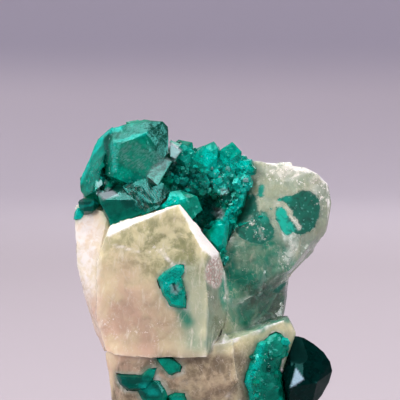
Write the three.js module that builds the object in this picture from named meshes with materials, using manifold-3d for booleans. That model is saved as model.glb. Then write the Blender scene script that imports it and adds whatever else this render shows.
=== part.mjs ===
// A dioptase specimen: emerald-green dioptase crystals grown on, and partly inside, a group of
// intergrown calcite crystals. Millimetres, +Z up, the show side faces -Y, the origin is the middle
// of the flat base. Corners are written [x, y, z].
import * as THREE from "three";
import { ConvexGeometry } from "three/addons/geometries/ConvexGeometry.js";
import { mergeVertices } from "three/addons/utils/BufferGeometryUtils.js";
import Module from "manifold-3d";

// Driving dimensions
const SPECIMEN_WIDTH = 40; // across the widest crystals
const SPECIMEN_HEIGHT = 52.8; // base to the top of the large dioptase
const BASE_Z = 0; // the matrix is trimmed flat here so that the piece stands
const CENTRING_SHIFT = [0, -1.16, 0]; // puts the middle of the whole outline over the origin
const SEAT_GAP = 0.3; // clearance between a dioptase crystal and the pocket it sits in
const DIOPTASE_CAP_SLOPE = 1.24; // drop of a rhombohedron face per unit of radius
const CALCITE_CORNER_ANGLE = THREE.MathUtils.degToRad(101.9); // between rhomb edges at a blunt corner

const wasm = await Module();
wasm.setup();

// Solids: every shape is a convex body with flat faces, joined or cut as solids

function solidOf(geometry) {
  geometry.deleteAttribute("normal");
  geometry.deleteAttribute("uv");
  const merged = mergeVertices(geometry, 1e-4);
  return new wasm.Manifold(
    new wasm.Mesh({
      numProp: 3,
      vertProperties: merged.attributes.position.array,
      triVerts: new Uint32Array(merged.index.array),
    }),
  );
}

function geometryOf(solid) {
  const mesh = solid.getMesh();
  const positions = new Float32Array(mesh.numVert * 3);
  for (let i = 0; i < mesh.numVert; i++) {
    const start = i * mesh.numProp;
    positions.set(mesh.vertProperties.subarray(start, start + 3), i * 3);
  }
  const geometry = new THREE.BufferGeometry();
  geometry.setAttribute("position", new THREE.BufferAttribute(positions, 3));
  geometry.setIndex(new THREE.BufferAttribute(mesh.triVerts, 1));
  geometry.translate(...CENTRING_SHIFT);
  geometry.computeVertexNormals();
  return geometry;
}

function join(solids) {
  return solids.reduce((all, one) => all.add(one));
}

// Cutting can leave chips behind: the piece itself is the largest body.
function largestBody(solid) {
  return solid.decompose().sort((a, b) => b.volume() - a.volume())[0];
}

// The corners of a tablet, a crystal that shows its broad face: its outline is given as [x, z]
// corners at depth back, and is drawn in by bevel at depth front. lean tips the front face.
function tabletCorners({ outline, front, back, lean = [0, 0], bevel = 0.18 }) {
  const middle = [0, 1].map((k) => outline.reduce((sum, o) => sum + o[k], 0) / outline.length);
  return outline.flatMap(([x, z]) => {
    const dx = x - middle[0];
    const dz = z - middle[1];
    const depth = front + lean[0] * dx + lean[1] * dz;
    const inner = 1 - bevel;
    return [
      [x, Math.max(back, depth + 1), z],
      [x, depth + 0.3 * (back - front), z],
      [middle[0] + dx * inner, depth, middle[1] + dz * inner],
    ];
  });
}

// The convex body on a set of corners. grow moves its faces out by about that much.
function flatFacedBody(corners, grow = 0) {
  const points = corners.map((corner) => new THREE.Vector3(...corner));
  if (grow > 0) {
    const box = new THREE.Box3().setFromPoints(points);
    const centre = box.getCenter(new THREE.Vector3());
    const half = box.getSize(new THREE.Vector3()).multiplyScalar(0.5);
    const share = half.clone().addScalar(grow * 1.6).divide(half);
    for (const point of points) point.sub(centre).multiply(share).add(centre);
  }
  return solidOf(new ConvexGeometry(points));
}

// Turns a shape made along +Z so that it points along axis, after a roll about its own length.
function turned(points, at, axis, roll) {
  const spin = new THREE.Quaternion().setFromAxisAngle(
    new THREE.Vector3(0, 0, 1),
    THREE.MathUtils.degToRad(roll),
  );
  const aim = new THREE.Quaternion().setFromUnitVectors(
    new THREE.Vector3(0, 0, 1),
    new THREE.Vector3(...axis).normalize(),
  );
  const place = new THREE.Vector3(...at);
  return points.map((point) =>
    new THREE.Vector3(...point).applyQuaternion(spin).applyQuaternion(aim).add(place).toArray(),
  );
}

// A dioptase crystal: a six-sided prism with three rhombohedron faces at each end. Its corners sit
// on the prism edges, alternately high and low, under a corner on the axis. at is its middle.
function dioptase({ at, axis, roll = 0, radius, length }, grow = 0) {
  const r = radius + grow / Math.cos(Math.PI / 6);
  const tip = length / 2 + grow;
  const high = tip - (DIOPTASE_CAP_SLOPE * r) / 2;
  const low = tip - DIOPTASE_CAP_SLOPE * r;
  const corners = [[0, 0, tip], [0, 0, -tip]];
  for (let edge = 0; edge < 6; edge++) {
    const angle = (edge * Math.PI) / 3;
    const [top, bottom] = edge % 2 ? [high, -low] : [low, -high];
    corners.push([r * Math.cos(angle), r * Math.sin(angle), Math.max(top, 0.05 * r)]);
    corners.push([r * Math.cos(angle), r * Math.sin(angle), Math.min(bottom, -0.05 * r)]);
  }
  return solidOf(
    new ConvexGeometry(turned(corners, at, axis, roll).map((c) => new THREE.Vector3(...c))),
  );
}

// A calcite rhomb: three edge directions at equal angles to axis, with the given edge lengths.
function calciteRhomb({ at, axis, roll, edges }) {
  const lean = Math.asin(Math.sin(CALCITE_CORNER_ANGLE / 2) / Math.sin(Math.PI / 3));
  const directions = [0, 1, 2].map((i) => {
    const around = (i * 2 * Math.PI) / 3;
    return new THREE.Vector3(
      Math.sin(lean) * Math.cos(around),
      Math.sin(lean) * Math.sin(around),
      Math.cos(lean),
    );
  });
  const corners = [];
  for (let i = 0; i < 8; i++) {
    const corner = new THREE.Vector3();
    directions.forEach((direction, k) => {
      const side = (i >> k) & 1 ? 0.5 : -0.5;
      corner.addScaledVector(direction, side * edges[k]);
    });
    corners.push(corner.toArray());
  }
  return flatFacedBody(turned(corners, at, axis, roll));
}

// The same sequence of numbers in 0..1 each time, so that every build is the same
function sequence(seed) {
  let state = seed;
  return () => {
    state = (state * 16807) % 2147483647;
    return state / 2147483647;
  };
}

// A patch of small crystals: rows and columns between three corners, each nudged and tilted
function crystalPatch({ corner, across, up, columns, rows, facing, radius, seed }) {
  const next = sequence(seed);
  const crystals = [];
  for (let row = 0; row < rows; row++) {
    for (let column = 0; column < columns; column++) {
      const u = (column + 0.5 * (row % 2) + 0.6 * next()) / columns;
      const v = (row + 0.6 * next()) / rows;
      const at = corner.map((c, k) => c + u * across[k] + v * up[k]);
      const axis = facing.map((f) => f + 1.3 * (next() - 0.5));
      const size = radius * (0.65 + 0.7 * next());
      crystals.push({ at, axis, roll: 60 * next(), radius: size, length: size * (2.6 + next()) });
    }
  }
  return crystals;
}

// The calcite matrix: intergrown crystals that overlap, so they are one solid

const frontCrystal = [
  // front face, turned a little to the left
  [-14.8, -11.3, 35.4],
  [-11.3, -12, 37.2],
  [-4, -13.2, 40.3],
  [-3.2, -13.4, 38.3],
  [-0.6, -13.6, 33.9],
  [0.1, -13.7, 30.4],
  [0.6, -13.9, 24],
  [0.2, -13.8, 17.3],
  [-8.3, -12.8, 16.9],
  [-13.6, -11.6, 17.3],
  [-15.2, -11.2, 18],
  [-16.3, -10.9, 22.6],
  [-16.2, -10.9, 31.5],
  // outer edges of the two frosted bevels beside the apex
  [-14, -9.8, 37.2],
  [-8.3, -11.8, 39.2],
  [-3.7, -12.9, 40.5],
  [-0.6, -11.2, 36.6],
  [2.3, -9.6, 32.8],
  // right-hand side face, with the speckled corner above it
  [1.1, -12.6, 32.6],
  [3.2, -8.6, 29.6],
  [3.4, -8.2, 24.1],
  [3.1, -8.6, 22.3],
  [1.4, -10, 17.8],
  // the buried rear
  [-14.2, -4, 36.4],
  [-4, -2, 39],
  [1.9, -2, 32.1],
  [3.4, 2, 29.2],
  [-14.8, 3, 16.3],
  [1.7, 3, 16.3],
  [-16.8, 3, 30.6],
];

const rightCrystal = [
  // broad front face
  [5, -1, 45.3],
  [7, -0.6, 46.4],
  [12.8, -1, 45.7],
  [15.7, -0.9, 45.5],
  [17.8, -0.6, 44.5],
  [19.4, 0, 42.9],
  [19.9, 0.6, 39.6],
  [19.1, -0.5, 36.2],
  [13.3, -4.6, 29.6],
  [7.4, -7.6, 25.8],
  [3.4, -8.2, 24.2],
  [3.1, -6, 31.1],
  // lower bevel and rear
  [18.9, 3, 34.7],
  [17.3, 3, 32],
  [15.3, 2.5, 29.8],
  [13.5, 2, 28],
  [5.7, 7, 45.3],
  [18.1, 8, 43.2],
  [19.7, 7, 39.7],
  [18.1, 8, 33.5],
  [13.7, 7.5, 27.5],
  [4.1, 7, 23.8],
];

const rightCrystalNeck = [
  [7.4, -7, 26],
  [13.2, -2, 28.4],
  [12.4, -3, 24.7],
  [12.1, -4, 22.2],
  [8, -6.6, 21.6],
  [3.4, -8.4, 22],
  [2.6, -8.2, 19.4],
  [3.4, -8.1, 25.4],
  [13.5, 6, 27.6],
  [12.4, 6, 20.4],
  [3.8, 6, 19.4],
];

const leftCrystal = [
  [-19.7, -4, 39.6],
  [-19.9, -5, 38],
  [-19.6, -6.2, 33.7],
  [-19.6, -6.2, 30.4],
  [-18.4, -6, 27.6],
  [-17.8, -6, 24.1],
  [-17, -6, 20.5],
  [-15.6, -6.5, 17.3],
  [-14.8, -8, 38.6],
  [-16, -8.6, 33.1],
  [-16.5, -9, 25.5],
  [-15.2, -9, 18.6],
  [-18.9, -5, 40.1],
  [-14.2, -5, 39.8],
  [-19.4, 4.5, 38.3],
  [-19.8, 5.5, 31.9],
  [-18.6, 6, 26],
  [-15.5, 5, 16.1],
  [-14.5, 6.5, 39],
  [-8.6, 8.5, 37.5],
  [-8.6, 8.5, 15.7],
];

const ledgeBlock = [
  // the bright front edge, the top behind it and the right-hand corner
  [1.4, -10.9, 18.7],
  [4.8, -10.4, 19.6],
  [12.3, -7.5, 22.2],
  [2, -6, 20.3],
  [9, -3, 22.6],
  [13, -5, 22.5],
  [14.1, -4, 20.1],
  [14.3, -4, 18.2],
  [13.4, -4.6, 12.5],
  // the front below it
  [4.9, -10.1, 10.1],
  [12.4, -6.5, 9.7],
  [5.2, -8.8, BASE_Z],
  [11.6, -5.6, BASE_Z],
  [12.7, 6, 21.1],
  [14.3, 5, 17.6],
  [12.8, 6.5, 8],
  [11.9, 5.6, BASE_Z],
];

const pinkBlock = [
  [-9, -11.6, 18],
  [0.6, -11.6, 17.3],
  [1.4, -11.5, 18.8],
  [4.4, -11.2, 19.2],
  [5.2, -11.4, 13.4],
  [2.6, -12, 12.8],
  [-0.2, -11.8, 11.4],
  [-7.5, -12.2, 15.6],
  [-9, -11, 9],
  [0, -9.6, 7.5],
  [4.8, -4, 18],
  [4.9, -4, 10],
  [-8, -4, 8],
];

const lowerLeftMass = [
  [-15.2, -7.6, 17.2],
  [-14.3, -8, 13.1],
  [-13.9, -8, 8],
  [-13.2, -7.2, BASE_Z],
  [-13, -10.6, 17.4],
  [-8.3, -12, 17.4],
  [-12.4, -10.8, 10.3],
  [-11.4, -9.6, BASE_Z],
  [-6, -11.6, 10],
  [-5.5, -10.6, BASE_Z],
  [5.6, -9.8, BASE_Z],
  [6, -10, 9.5],
  [-14.6, 5, 16],
  [-12.8, 6, BASE_Z],
  [6, 8, BASE_Z],
  [6, 8, 16],
];

const core = [
  [-14, 0.8, 39.4],
  [-6, 1.2, 39.2],
  [-1, 1.9, 34],
  [4, 1.9, 34],
  [6.5, 1.6, 42.5],
  [-6, 1.6, 42],
  [-13.5, 7.5, 39.4],
  [7, 8.5, 41],
  [-14, -6, 12],
  [11, -5, 12],
  [-14, 7.5, 10],
  [12, 7.5, 10],
];

// Cleavage steps: rhombs stand out of a host crystal, and all those of one host point the same way.
// Each is its middle, then its three edge lengths.
const cleavageSteps = [
  {
    // stepped rear of the left-hand crystals
    axis: [-0.35, 0.86, 0.38],
    roll: 8,
    rhombs: [
      [-6.5, 7.4, 29.5, 15, 13, 9],
      [-9.5, 8.6, 21.5, 9, 9, 7],
      [-4.2, 9.6, 24.6, 8, 6, 6],
      [-8.6, 6.4, 12, 7.4, 8, 7.4],
      [-12.5, 6, 34.4, 7, 6, 7],
    ],
  },
  {
    // stepped rear of the right-hand crystals
    axis: [0.4, 0.84, 0.36],
    roll: 50,
    rhombs: [
      [7.5, 7, 37.4, 12, 10, 8],
      [12.6, 6.4, 35.6, 8, 7, 6],
      [4.8, 7.4, 22.4, 9, 10, 8],
      [7.2, 7.4, 11.5, 10, 9, 8],
      [1.4, 8.2, 14.6, 7, 8, 6],
    ],
  },
  {
    // left-hand side
    axis: [-0.86, -0.4, 0.32],
    roll: 20,
    rhombs: [
      [-17, -4.6, 31.2, 3.4, 3, 2.8],
      [-15.6, -1.4, 24.4, 4.6, 4, 4],
      [-16.4, 2.4, 33, 7, 6, 5],
      [-11.8, 0.6, 12.6, 4.6, 4.2, 4],
    ],
  },
  {
    // chipped rim of the clear right-hand crystal
    axis: [0.5, -0.35, 0.8],
    roll: 25,
    rhombs: [
      [17.3, 1.8, 42.6, 2.6, 2.4, 2.4],
      [12.9, 0.6, 44.8, 2.2, 2.4, 2],
      [18, 2.6, 38.4, 2.2, 2, 2],
      [17.2, 5.6, 40.4, 3.6, 3.4, 3],
    ],
  },
  {
    // ledges low on the front
    axis: [-0.12, -0.9, 0.36],
    roll: 14,
    rhombs: [
      [2.8, -9.6, 18.4, 2.6, 2.2, 2],
      [-3.2, -10.4, 12.6, 3.4, 2.8, 2.6],
      [-12, -8.6, 14.6, 2.8, 2.2, 2],
      [-9.2, -8.2, 4.2, 7.4, 6, 5],
      [0.8, -8.4, 3, 8, 6.4, 5],
      [8.4, -5.4, 4.6, 6.4, 5.6, 4.6],
    ],
  },
];

// Dioptase: each entry of a piece is a tablet, a body on its corners, or a crystal of free habit

const largeCrystals = [
  {
    // the large frosted crystal: front face, left side, striated upper bevel, steep right part, rear
    corners: [
      [-14, -7, 49.6],
      [-12.6, -7.3, 49.5],
      [-10.9, -7, 50.1],
      [-8.9, -6.4, 51.1],
      [-5.5, -5.3, 50],
      [-5.6, -5.9, 48.1],
      [-6.3, -6.8, 46.9],
      [-8.6, -8.2, 44.4],
      [-11.4, -8.8, 43.3],
      [-13.9, -8.7, 44.4],
      [-15.2, -7, 44.6],
      [-15.4, -4.6, 50],
      [-14.2, -4.9, 51.7],
      [-12.6, -5.1, 51.8],
      [-11.4, -4.9, 52.4],
      [-9.9, -4.7, 52.7],
      [-8.5, -4.9, 52.7],
      [-6.4, -4.5, 52.7],
      [-5.6, -4.2, 51.9],
      [-9.4, 1, 52.8],
      [-6.4, 4.5, 51.2],
      [-12.4, 4.5, 50.8],
      [-14.8, 5, 42.3],
      [-6.1, 5, 43.9],
      [-10, -4, 40],
    ],
  },
  {
    // the glassy crystal down its left side
    corners: [
      [-14.2, -1.6, 51.8],
      [-15.5, -2, 50.8],
      [-16.5, -2.5, 49.8],
      [-17.1, -3, 48.2],
      [-18.9, -3.5, 44.4],
      [-19.2, -3.8, 43.3],
      [-19.1, -4, 41.9],
      [-18.4, -4.8, 41.1],
      [-16.9, -7.2, 42.1],
      [-16.3, -7.6, 43.2],
      [-16.3, -7, 45.1],
      [-15.1, -5.8, 48.4],
      [-14.6, -4.6, 50.6],
      [-18.4, -1, 40.2],
      [-15.6, -4, 39.8],
      [-14.2, 4, 51],
      [-17.4, 4, 46.6],
      [-18.6, 4, 43.1],
      [-16.4, 4.5, 40],
    ],
  },
  {
    // the dark block below, with the small bright end face
    corners: [
      [-16.5, -7.6, 41.9],
      [-14.2, -7.4, 42.3],
      [-12.9, -9.4, 41.5],
      [-15.3, -10.2, 41],
      [-15.8, -10, 40.3],
      [-14.1, -9.6, 37.2],
      [-9.7, -10, 39.1],
      [-10.7, -10.3, 41],
      [-12.4, -8.8, 42.4],
      [-16.6, -4, 42.8],
      [-13, -5, 43.6],
      [-16.2, -2, 41.2],
      [-13.9, -3, 37.4],
      [-10, -3, 38.6],
    ],
  },
  {
    // the striated crystal to its right
    corners: [
      [-12.6, -8.8, 43],
      [-10.1, -8.6, 43.8],
      [-8.3, -8.2, 44.5],
      [-6.2, -7.2, 43.2],
      [-5.2, -6.6, 41.9],
      [-7.1, -8.6, 39.9],
      [-9.4, -9.8, 38.9],
      [-11, -10.2, 41],
      [-10.8, 0, 43.4],
      [-5.5, 0, 43],
      [-6.1, 0, 39.5],
    ],
  },
  {
    // the mirror-bright end face of a crystal between the two
    corners: [
      [-8.8, -8.6, 44.5],
      [-6.5, -6.3, 47.2],
      [-5, -6.6, 46.6],
      [-7.1, -9.4, 43.2],
      [-9, -5, 44.4],
      [-6.3, -3, 47.4],
      [-4.6, -3, 46.6],
      [-6.6, -5, 43],
    ],
  },
  {
    // a small bright facet between the glassy crystal and the block
    corners: [
      [-16.7, -7.2, 43.9],
      [-15.8, -7.1, 44],
      [-15.6, -7.8, 43.2],
      [-16.8, -8.7, 42.3],
      [-16.6, -4.6, 44],
      [-15.4, -4.6, 43.6],
      [-16.6, -5.4, 42],
    ],
  },
  { outline: [[-16.8, 45], [-15.6, 46.9], [-15.1, 46.1], [-16.5, 44.8]], front: -7.2, back: -4 },
  { at: [-10.6, 0.6, 50.9], axis: [0.1, 0.5, 0.8], roll: 30, radius: 1.9, length: 4.4 },
  { at: [-14.6, 3.4, 47.4], axis: [-0.5, 0.8, 0.3], roll: 5, radius: 2.6, length: 6.4 },
  { at: [-8.4, 4.6, 46.6], axis: [0.2, 0.95, 0.3], roll: 35, radius: 3.1, length: 7 },
  { at: [-12.4, 5.6, 42.8], axis: [-0.2, 0.9, 0.1], roll: 50, radius: 2.2, length: 5.6 },
  { at: [-17.2, 1.4, 43], axis: [-0.9, 0.4, 0.2], roll: 18, radius: 1.9, length: 5 },
];

const leftBud = [
  {
    corners: [
      [-19.4, -6.6, 40.4],
      [-18.7, -6.4, 41],
      [-17, -6.6, 40.9],
      [-16.3, -7.2, 40],
      [-17.1, -7.6, 39.1],
      [-18.5, -7.6, 39],
      [-19.3, -7, 39.7],
      [-18.5, -8, 40.6],
      [-16.9, -8.2, 40.6],
      [-18.9, -4.6, 40.3],
      [-16.9, -4.8, 40.2],
      [-18.4, -4.4, 38.6],
    ],
  },
];

const leftSliver = [
  { outline: [[-19.9, 37.8], [-19.4, 39], [-18.7, 38.6], [-19.2, 37.9]], front: -5.6, back: -3.4 },
];

const apexCrystal = [
  {
    corners: [
      [-6.8, -7, 41.7],
      [-3.7, -7.2, 42.3],
      [-1.1, -6.4, 41.3],
      [-0.2, -6.8, 39.2],
      [-2, -8, 38],
      [-2.8, -8.4, 41.1],
      [-4.3, -8.2, 40.2],
      [-7.1, -7.8, 39.3],
      [-6.4, -3.6, 41.4],
      [-1.4, -3.2, 41],
      [-2.4, -3.2, 38],
    ],
  },
];

const druse = [
  {
    // the mass that the upper crystals stand on
    corners: [
      [-5.8, -1.4, 47.4],
      [4.8, -1.4, 46.8],
      [6.4, -1, 43.6],
      [5.6, -1.4, 41.8],
      [-1.5, -1.4, 42.2],
      [-5.8, -2, 41.2],
      [-5.4, 5.6, 47.2],
      [5.6, 5.6, 45.8],
      [6.4, 5.2, 41],
      [-5.4, 5.2, 41],
    ],
  },
  {
    // the lining of the dark cavity below it
    corners: [
      [-3.6, 1, 42.6],
      [4.6, 1, 42.6],
      [3.6, 0.8, 33.2],
      [-2.4, 0.8, 35.6],
      [-3.6, 5.4, 42],
      [4.6, 5.2, 42],
      [3.4, 4, 34.6],
      [-1.6, 4, 36.4],
    ],
  },
  {
    // the wall between the cavity and the clear crystal
    corners: [
      [3.2, -2.2, 42.4],
      [6.3, -2, 42.6],
      [5.2, -2.6, 38.4],
      [3.4, -3.4, 34],
      [2, -3.2, 34.2],
      [2.4, -2.6, 38.2],
      [3.4, 2.4, 42],
      [6.2, 2.2, 41.6],
      [3, 2, 34.4],
    ],
  },
  {
    // the bright rim along the wall
    outline: [
      [3.8, 38.4],
      [4.9, 40.1],
      [5.4, 41.4],
      [6.1, 41.3],
      [6, 39.6],
      [4.6, 38],
    ],
    front: -4.2,
    back: -2,
    lean: [0, 0.2],
    bevel: 0.3,
  },
  { outline: [[2.2, 36.9], [3.9, 38.6], [4.8, 38.2], [3.2, 36.6]], front: -4.8, back: -2.4, lean: [0, 0.3] },
  {
    // the teal chunk at its foot
    outline: [
      [0.5, 35.6],
      [2, 37.3],
      [3.8, 37.9],
      [3.3, 34.8],
      [3.1, 33.4],
      [2, 32.9],
      [0.6, 34.2],
    ],
    front: -6.2,
    back: -3,
    lean: [0, 0.25],
    bevel: 0.35,
  },
  {
    // the crystal with the lavender mirror face
    corners: [
      [-5.6, -2.5, 49],
      [-5, -2.4, 49.1],
      [-3.6, -3.2, 48],
      [-4.8, -4.4, 46.4],
      [-5.6, -3.9, 47.2],
      [-5.2, 1.4, 49.6],
      [-3, 1.4, 48.6],
      [-3.8, 1, 46],
    ],
  },
  // glassy crystals along the top
  { at: [-2.8, -1.4, 46.9], axis: [-0.2, -0.3, 0.9], roll: 22, radius: 2, length: 5.2 },
  { at: [-0.3, -1.2, 46.2], axis: [0.05, -0.3, 0.95], roll: 45, radius: 2.4, length: 5.6 },
  { at: [1.3, -0.6, 47.2], axis: [0.1, -0.1, 0.95], roll: 5, radius: 1.3, length: 4.6 },
  { at: [4.1, -0.8, 47], axis: [0.1, -0.2, 0.9], roll: 30, radius: 1.9, length: 5 },
  { at: [6, -0.8, 44.8], axis: [0.5, -0.4, 0.7], roll: 15, radius: 1.4, length: 4.6 },
  { at: [0.6, 2.6, 46.2], axis: [0.1, 0.4, 0.9], roll: 12, radius: 2.4, length: 6 },
  { at: [4.6, 3.2, 45], axis: [0.4, 0.5, 0.8], roll: 50, radius: 2, length: 5.4 },
  { at: [-3.4, 3.2, 46.8], axis: [-0.2, 0.4, 0.9], roll: 28, radius: 2.3, length: 6 },
  { at: [-1.4, 5, 44.6], axis: [0, 0.95, 0.3], roll: 8, radius: 2.5, length: 6 },
  { at: [3.2, 5.4, 42.8], axis: [0.3, 0.9, 0.2], roll: 33, radius: 2, length: 5.4 },
  { at: [6, -1.6, 43], axis: [0.2, -0.9, 0.3], roll: 12, radius: 1.2, length: 4 },
  ...crystalPatch({
    corner: [-5.2, -1.9, 41.2],
    across: [10, 0.2, 0],
    up: [0.4, 0.8, 4.8],
    columns: 7,
    rows: 4,
    facing: [0, -0.9, 0.35],
    radius: 0.9,
    seed: 11,
  }),
  ...crystalPatch({
    corner: [-1.6, 0.7, 35.4],
    across: [4.4, 0, 0],
    up: [0.2, 0.2, 5],
    columns: 3,
    rows: 3,
    facing: [-0.1, -0.9, 0.3],
    radius: 0.75,
    seed: 29,
  }),
  ...crystalPatch({
    corner: [3.1, -2.7, 36.4],
    across: [1.4, 0.1, 0.2],
    up: [1.4, 0.6, 6],
    columns: 2,
    rows: 4,
    facing: [-0.2, -0.9, 0.3],
    radius: 0.75,
    seed: 5,
  }),
];

const embeddedRight = [
  {
    outline: [
      [12.8, 39.9],
      [14, 41.4],
      [15.4, 41.9],
      [17, 41.7],
      [18.1, 40.8],
      [18.4, 39.1],
      [17.5, 35.8],
      [15.8, 35.2],
      [14.5, 35],
      [13.7, 36.1],
    ],
    front: -2.3,
    back: 0.6,
    lean: [0.36, 0.12],
  },
  { outline: [[10.9, 40.3], [12.6, 41.3], [14.2, 41.2], [14.2, 39.6], [11.8, 40]], front: -2.9, back: -1 },
  {
    outline: [
      [11, 39.3],
      [12.3, 39.6],
      [13.1, 38.1],
      [14, 36.4],
      [13.8, 35.3],
      [12.9, 35],
      [12, 35.8],
      [11.3, 37.5],
    ],
    front: -3.7,
    back: -1.4,
    lean: [0.3, 0.15],
  },
];

const embeddedMiddle = [
  {
    outline: [
      [5.7, 40.1],
      [6.5, 41.1],
      [7.6, 40.6],
      [8.1, 39.4],
      [7.8, 38],
      [6.2, 37.8],
    ],
    front: -3,
    back: -0.8,
    lean: [0, 0.1],
  },
  {
    outline: [
      [4, 36.8],
      [5.2, 38.4],
      [6.4, 39],
      [8, 38.5],
      [9, 37.1],
      [10.2, 35.9],
      [10.1, 34.5],
      [9, 33.7],
      [7.2, 34],
      [5.6, 34.7],
      [4.7, 35.6],
    ],
    front: -4.3,
    back: -1.6,
    lean: [0.05, 0.38],
  },
];

const embeddedSpeck = [
  { outline: [[8.4, 42.6], [9, 42.9], [9.5, 42.1], [9.2, 41.2], [8.5, 41.1]], front: -2.6, back: -1 },
];

const bevelSliver = [
  {
    outline: [
      [10.1, 26.5],
      [11.9, 27.6],
      [13.3, 27.8],
      [13, 27],
      [11.2, 26.2],
    ],
    front: -3.9,
    back: -2.2,
    lean: [0.6, 0],
  },
];

const frontFaceCrystal = [
  {
    outline: [
      [-6.7, 29],
      [-6, 29.8],
      [-4, 31],
      [-3.3, 31],
      [-3.2, 30.4],
      [-4.1, 29],
      [-5.5, 28.2],
      [-6.4, 28.1],
    ],
    front: -13.7,
    back: -11.4,
  },
  {
    outline: [
      [-6.4, 28.6],
      [-5.3, 28.9],
      [-4.9, 27.2],
      [-4.1, 26.2],
      [-4.9, 25.5],
      [-6, 26.8],
    ],
    front: -13.8,
    back: -11.6,
  },
  { outline: [[-5.5, 26.3], [-4.4, 27.2], [-3.1, 26.5], [-3.1, 25], [-5, 25.3]], front: -14, back: -12 },
  { outline: [[-4.3, 28.9], [-3.7, 29.2], [-3, 26.5], [-3.6, 26.4]], front: -13.9, back: -12.2 },
];

const ledgeCrystals = [
  {
    outline: [
      [9.1, 18.5],
      [10.2, 19.5],
      [11.1, 19.9],
      [11.9, 19.5],
      [12.9, 17.7],
      [12.2, 16.6],
      [11.1, 16.1],
      [9.7, 16.4],
    ],
    front: -9,
    back: -6.4,
    lean: [0.35, 0.1],
    bevel: 0.3,
  },
  { outline: [[8.5, 18.5], [9.4, 18.8], [10, 17.8], [9.7, 16.5], [8.1, 17.2]], front: -9.8, back: -7.4 },
  {
    outline: [
      [8.1, 17.4],
      [9.8, 17],
      [11.8, 16.6],
      [11.4, 15.3],
      [11.2, 14.1],
      [8.9, 13.8],
      [7.1, 14.7],
      [7.5, 16.1],
    ],
    front: -9.9,
    back: -7,
    lean: [0.3, 0],
    bevel: 0.3,
  },
  {
    outline: [
      [6.8, 14.1],
      [7.4, 15.2],
      [8.9, 14.6],
      [11.2, 14.6],
      [11.7, 13.5],
      [12, 11.9],
      [10.1, 10.7],
      [7.4, 10.8],
      [6.5, 12.9],
    ],
    front: -10.2,
    back: -6.6,
    lean: [0.3, 0.1],
    bevel: 0.3,
  },
  {
    outline: [
      [7.1, 11.6],
      [9.5, 12.1],
      [12, 12.2],
      [12.3, 10.1],
      [11.7, 8.2],
      [8.9, 7.7],
      [7.5, 9.3],
    ],
    front: -9.8,
    back: -6.4,
    lean: [0.3, -0.1],
    bevel: 0.3,
  },
];

const darkCrystal = [
  {
    corners: [
      [14.3, -4.2, 19],
      [15.5, -4.4, 19.1],
      [17, -4.6, 18.2],
      [18.6, -4.8, 16.9],
      [19.6, -5, 15.4],
      [19.9, -5, 14],
      [19.4, -5, 12.2],
      [18.3, -5, 10.2],
      [16.6, -5.5, 8.1],
      [13.2, -6.5, 8.4],
      [12.2, -7.5, 11],
      [12.3, -7.5, 13.2],
      [13.6, -6, 16.6],
      [17.4, -8.4, 12.6],
      // the small triangular end face, then the rear
      [14, -7.8, 14.9],
      [15.4, -9, 13.3],
      [13.2, -10, 12],
      [15.3, -1, 17.4],
      [18.5, 0, 15.1],
      [18.4, 0, 11],
      [15, -1, 9.2],
      [12.6, -2.5, 12.3],
    ],
  },
];

const lowerBlade = [
  {
    outline: [
      [-13.1, 13.8],
      [-9.8, 13.8],
      [-8, 13.7],
      [-8.6, 12.1],
      [-11.7, 12.1],
      [-12.7, 12.9],
    ],
    front: -11.7,
    back: -9.4,
    lean: [-0.25, 0],
  },
  { outline: [[-9.7, 13.6], [-8.4, 14.9], [-7.5, 15.1], [-8.1, 14], [-8.4, 13]], front: -12.1, back: -10 },
  {
    outline: [
      [-10, 12.2],
      [-8.3, 13.6],
      [-6.8, 13.3],
      [-6, 11.6],
      [-5.8, 9.7],
      [-6.5, 8.3],
      [-8.1, 8.8],
      [-9.2, 10.6],
    ],
    front: -12.1,
    back: -9.4,
    lean: [-0.1, 0],
    bevel: 0.3,
  },
];

const lowerChip = [
  {
    outline: [
      [-7.1, 16.8],
      [-5.2, 16.7],
      [-3.7, 15.6],
      [-3.8, 14.9],
      [-5.2, 14.5],
      [-5.7, 15.6],
      [-6.6, 16.4],
    ],
    front: -12.3,
    back: -10,
  },
];

const footCrystal = [
  {
    outline: [
      [-5.2, 10.8],
      [-4.4, 11.2],
      [-3.2, 11.1],
      [-2.9, 9.7],
      [-4.2, 8.9],
      [-5.2, 9.5],
    ],
    front: -12.1,
    back: -9.6,
    bevel: 0.3,
  },
];

const backCrystals = [
  { at: [4.2, 9.4, 31], axis: [0.3, 0.9, 0.4], roll: 14, radius: 1.9, length: 5.4 },
  { at: [6.4, 8.8, 29.2], axis: [0.5, 0.8, 0], roll: 44, radius: 1.5, length: 4.6 },
  { at: [3.4, 9, 28.4], axis: [-0.1, 0.9, -0.3], roll: 3, radius: 1.3, length: 4 },
];

// Every dioptase piece in the order in which they claim space: a later one is cut clear of earlier ones
const dioptasePieces = {
  dioptase_large_crystals: largeCrystals,
  dioptase_left_bud: leftBud,
  dioptase_left_sliver: leftSliver,
  dioptase_apex_crystal: apexCrystal,
  dioptase_druse: druse,
  dioptase_embedded_right: embeddedRight,
  dioptase_embedded_middle: embeddedMiddle,
  dioptase_embedded_speck: embeddedSpeck,
  dioptase_bevel_sliver: bevelSliver,
  dioptase_front_face_crystal: frontFaceCrystal,
  dioptase_ledge_crystals: ledgeCrystals,
  dioptase_dark_crystal: darkCrystal,
  dioptase_lower_blade: lowerBlade,
  dioptase_lower_chip: lowerChip,
  dioptase_foot_crystal: footCrystal,
  dioptase_back_crystals: backCrystals,
};

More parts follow.
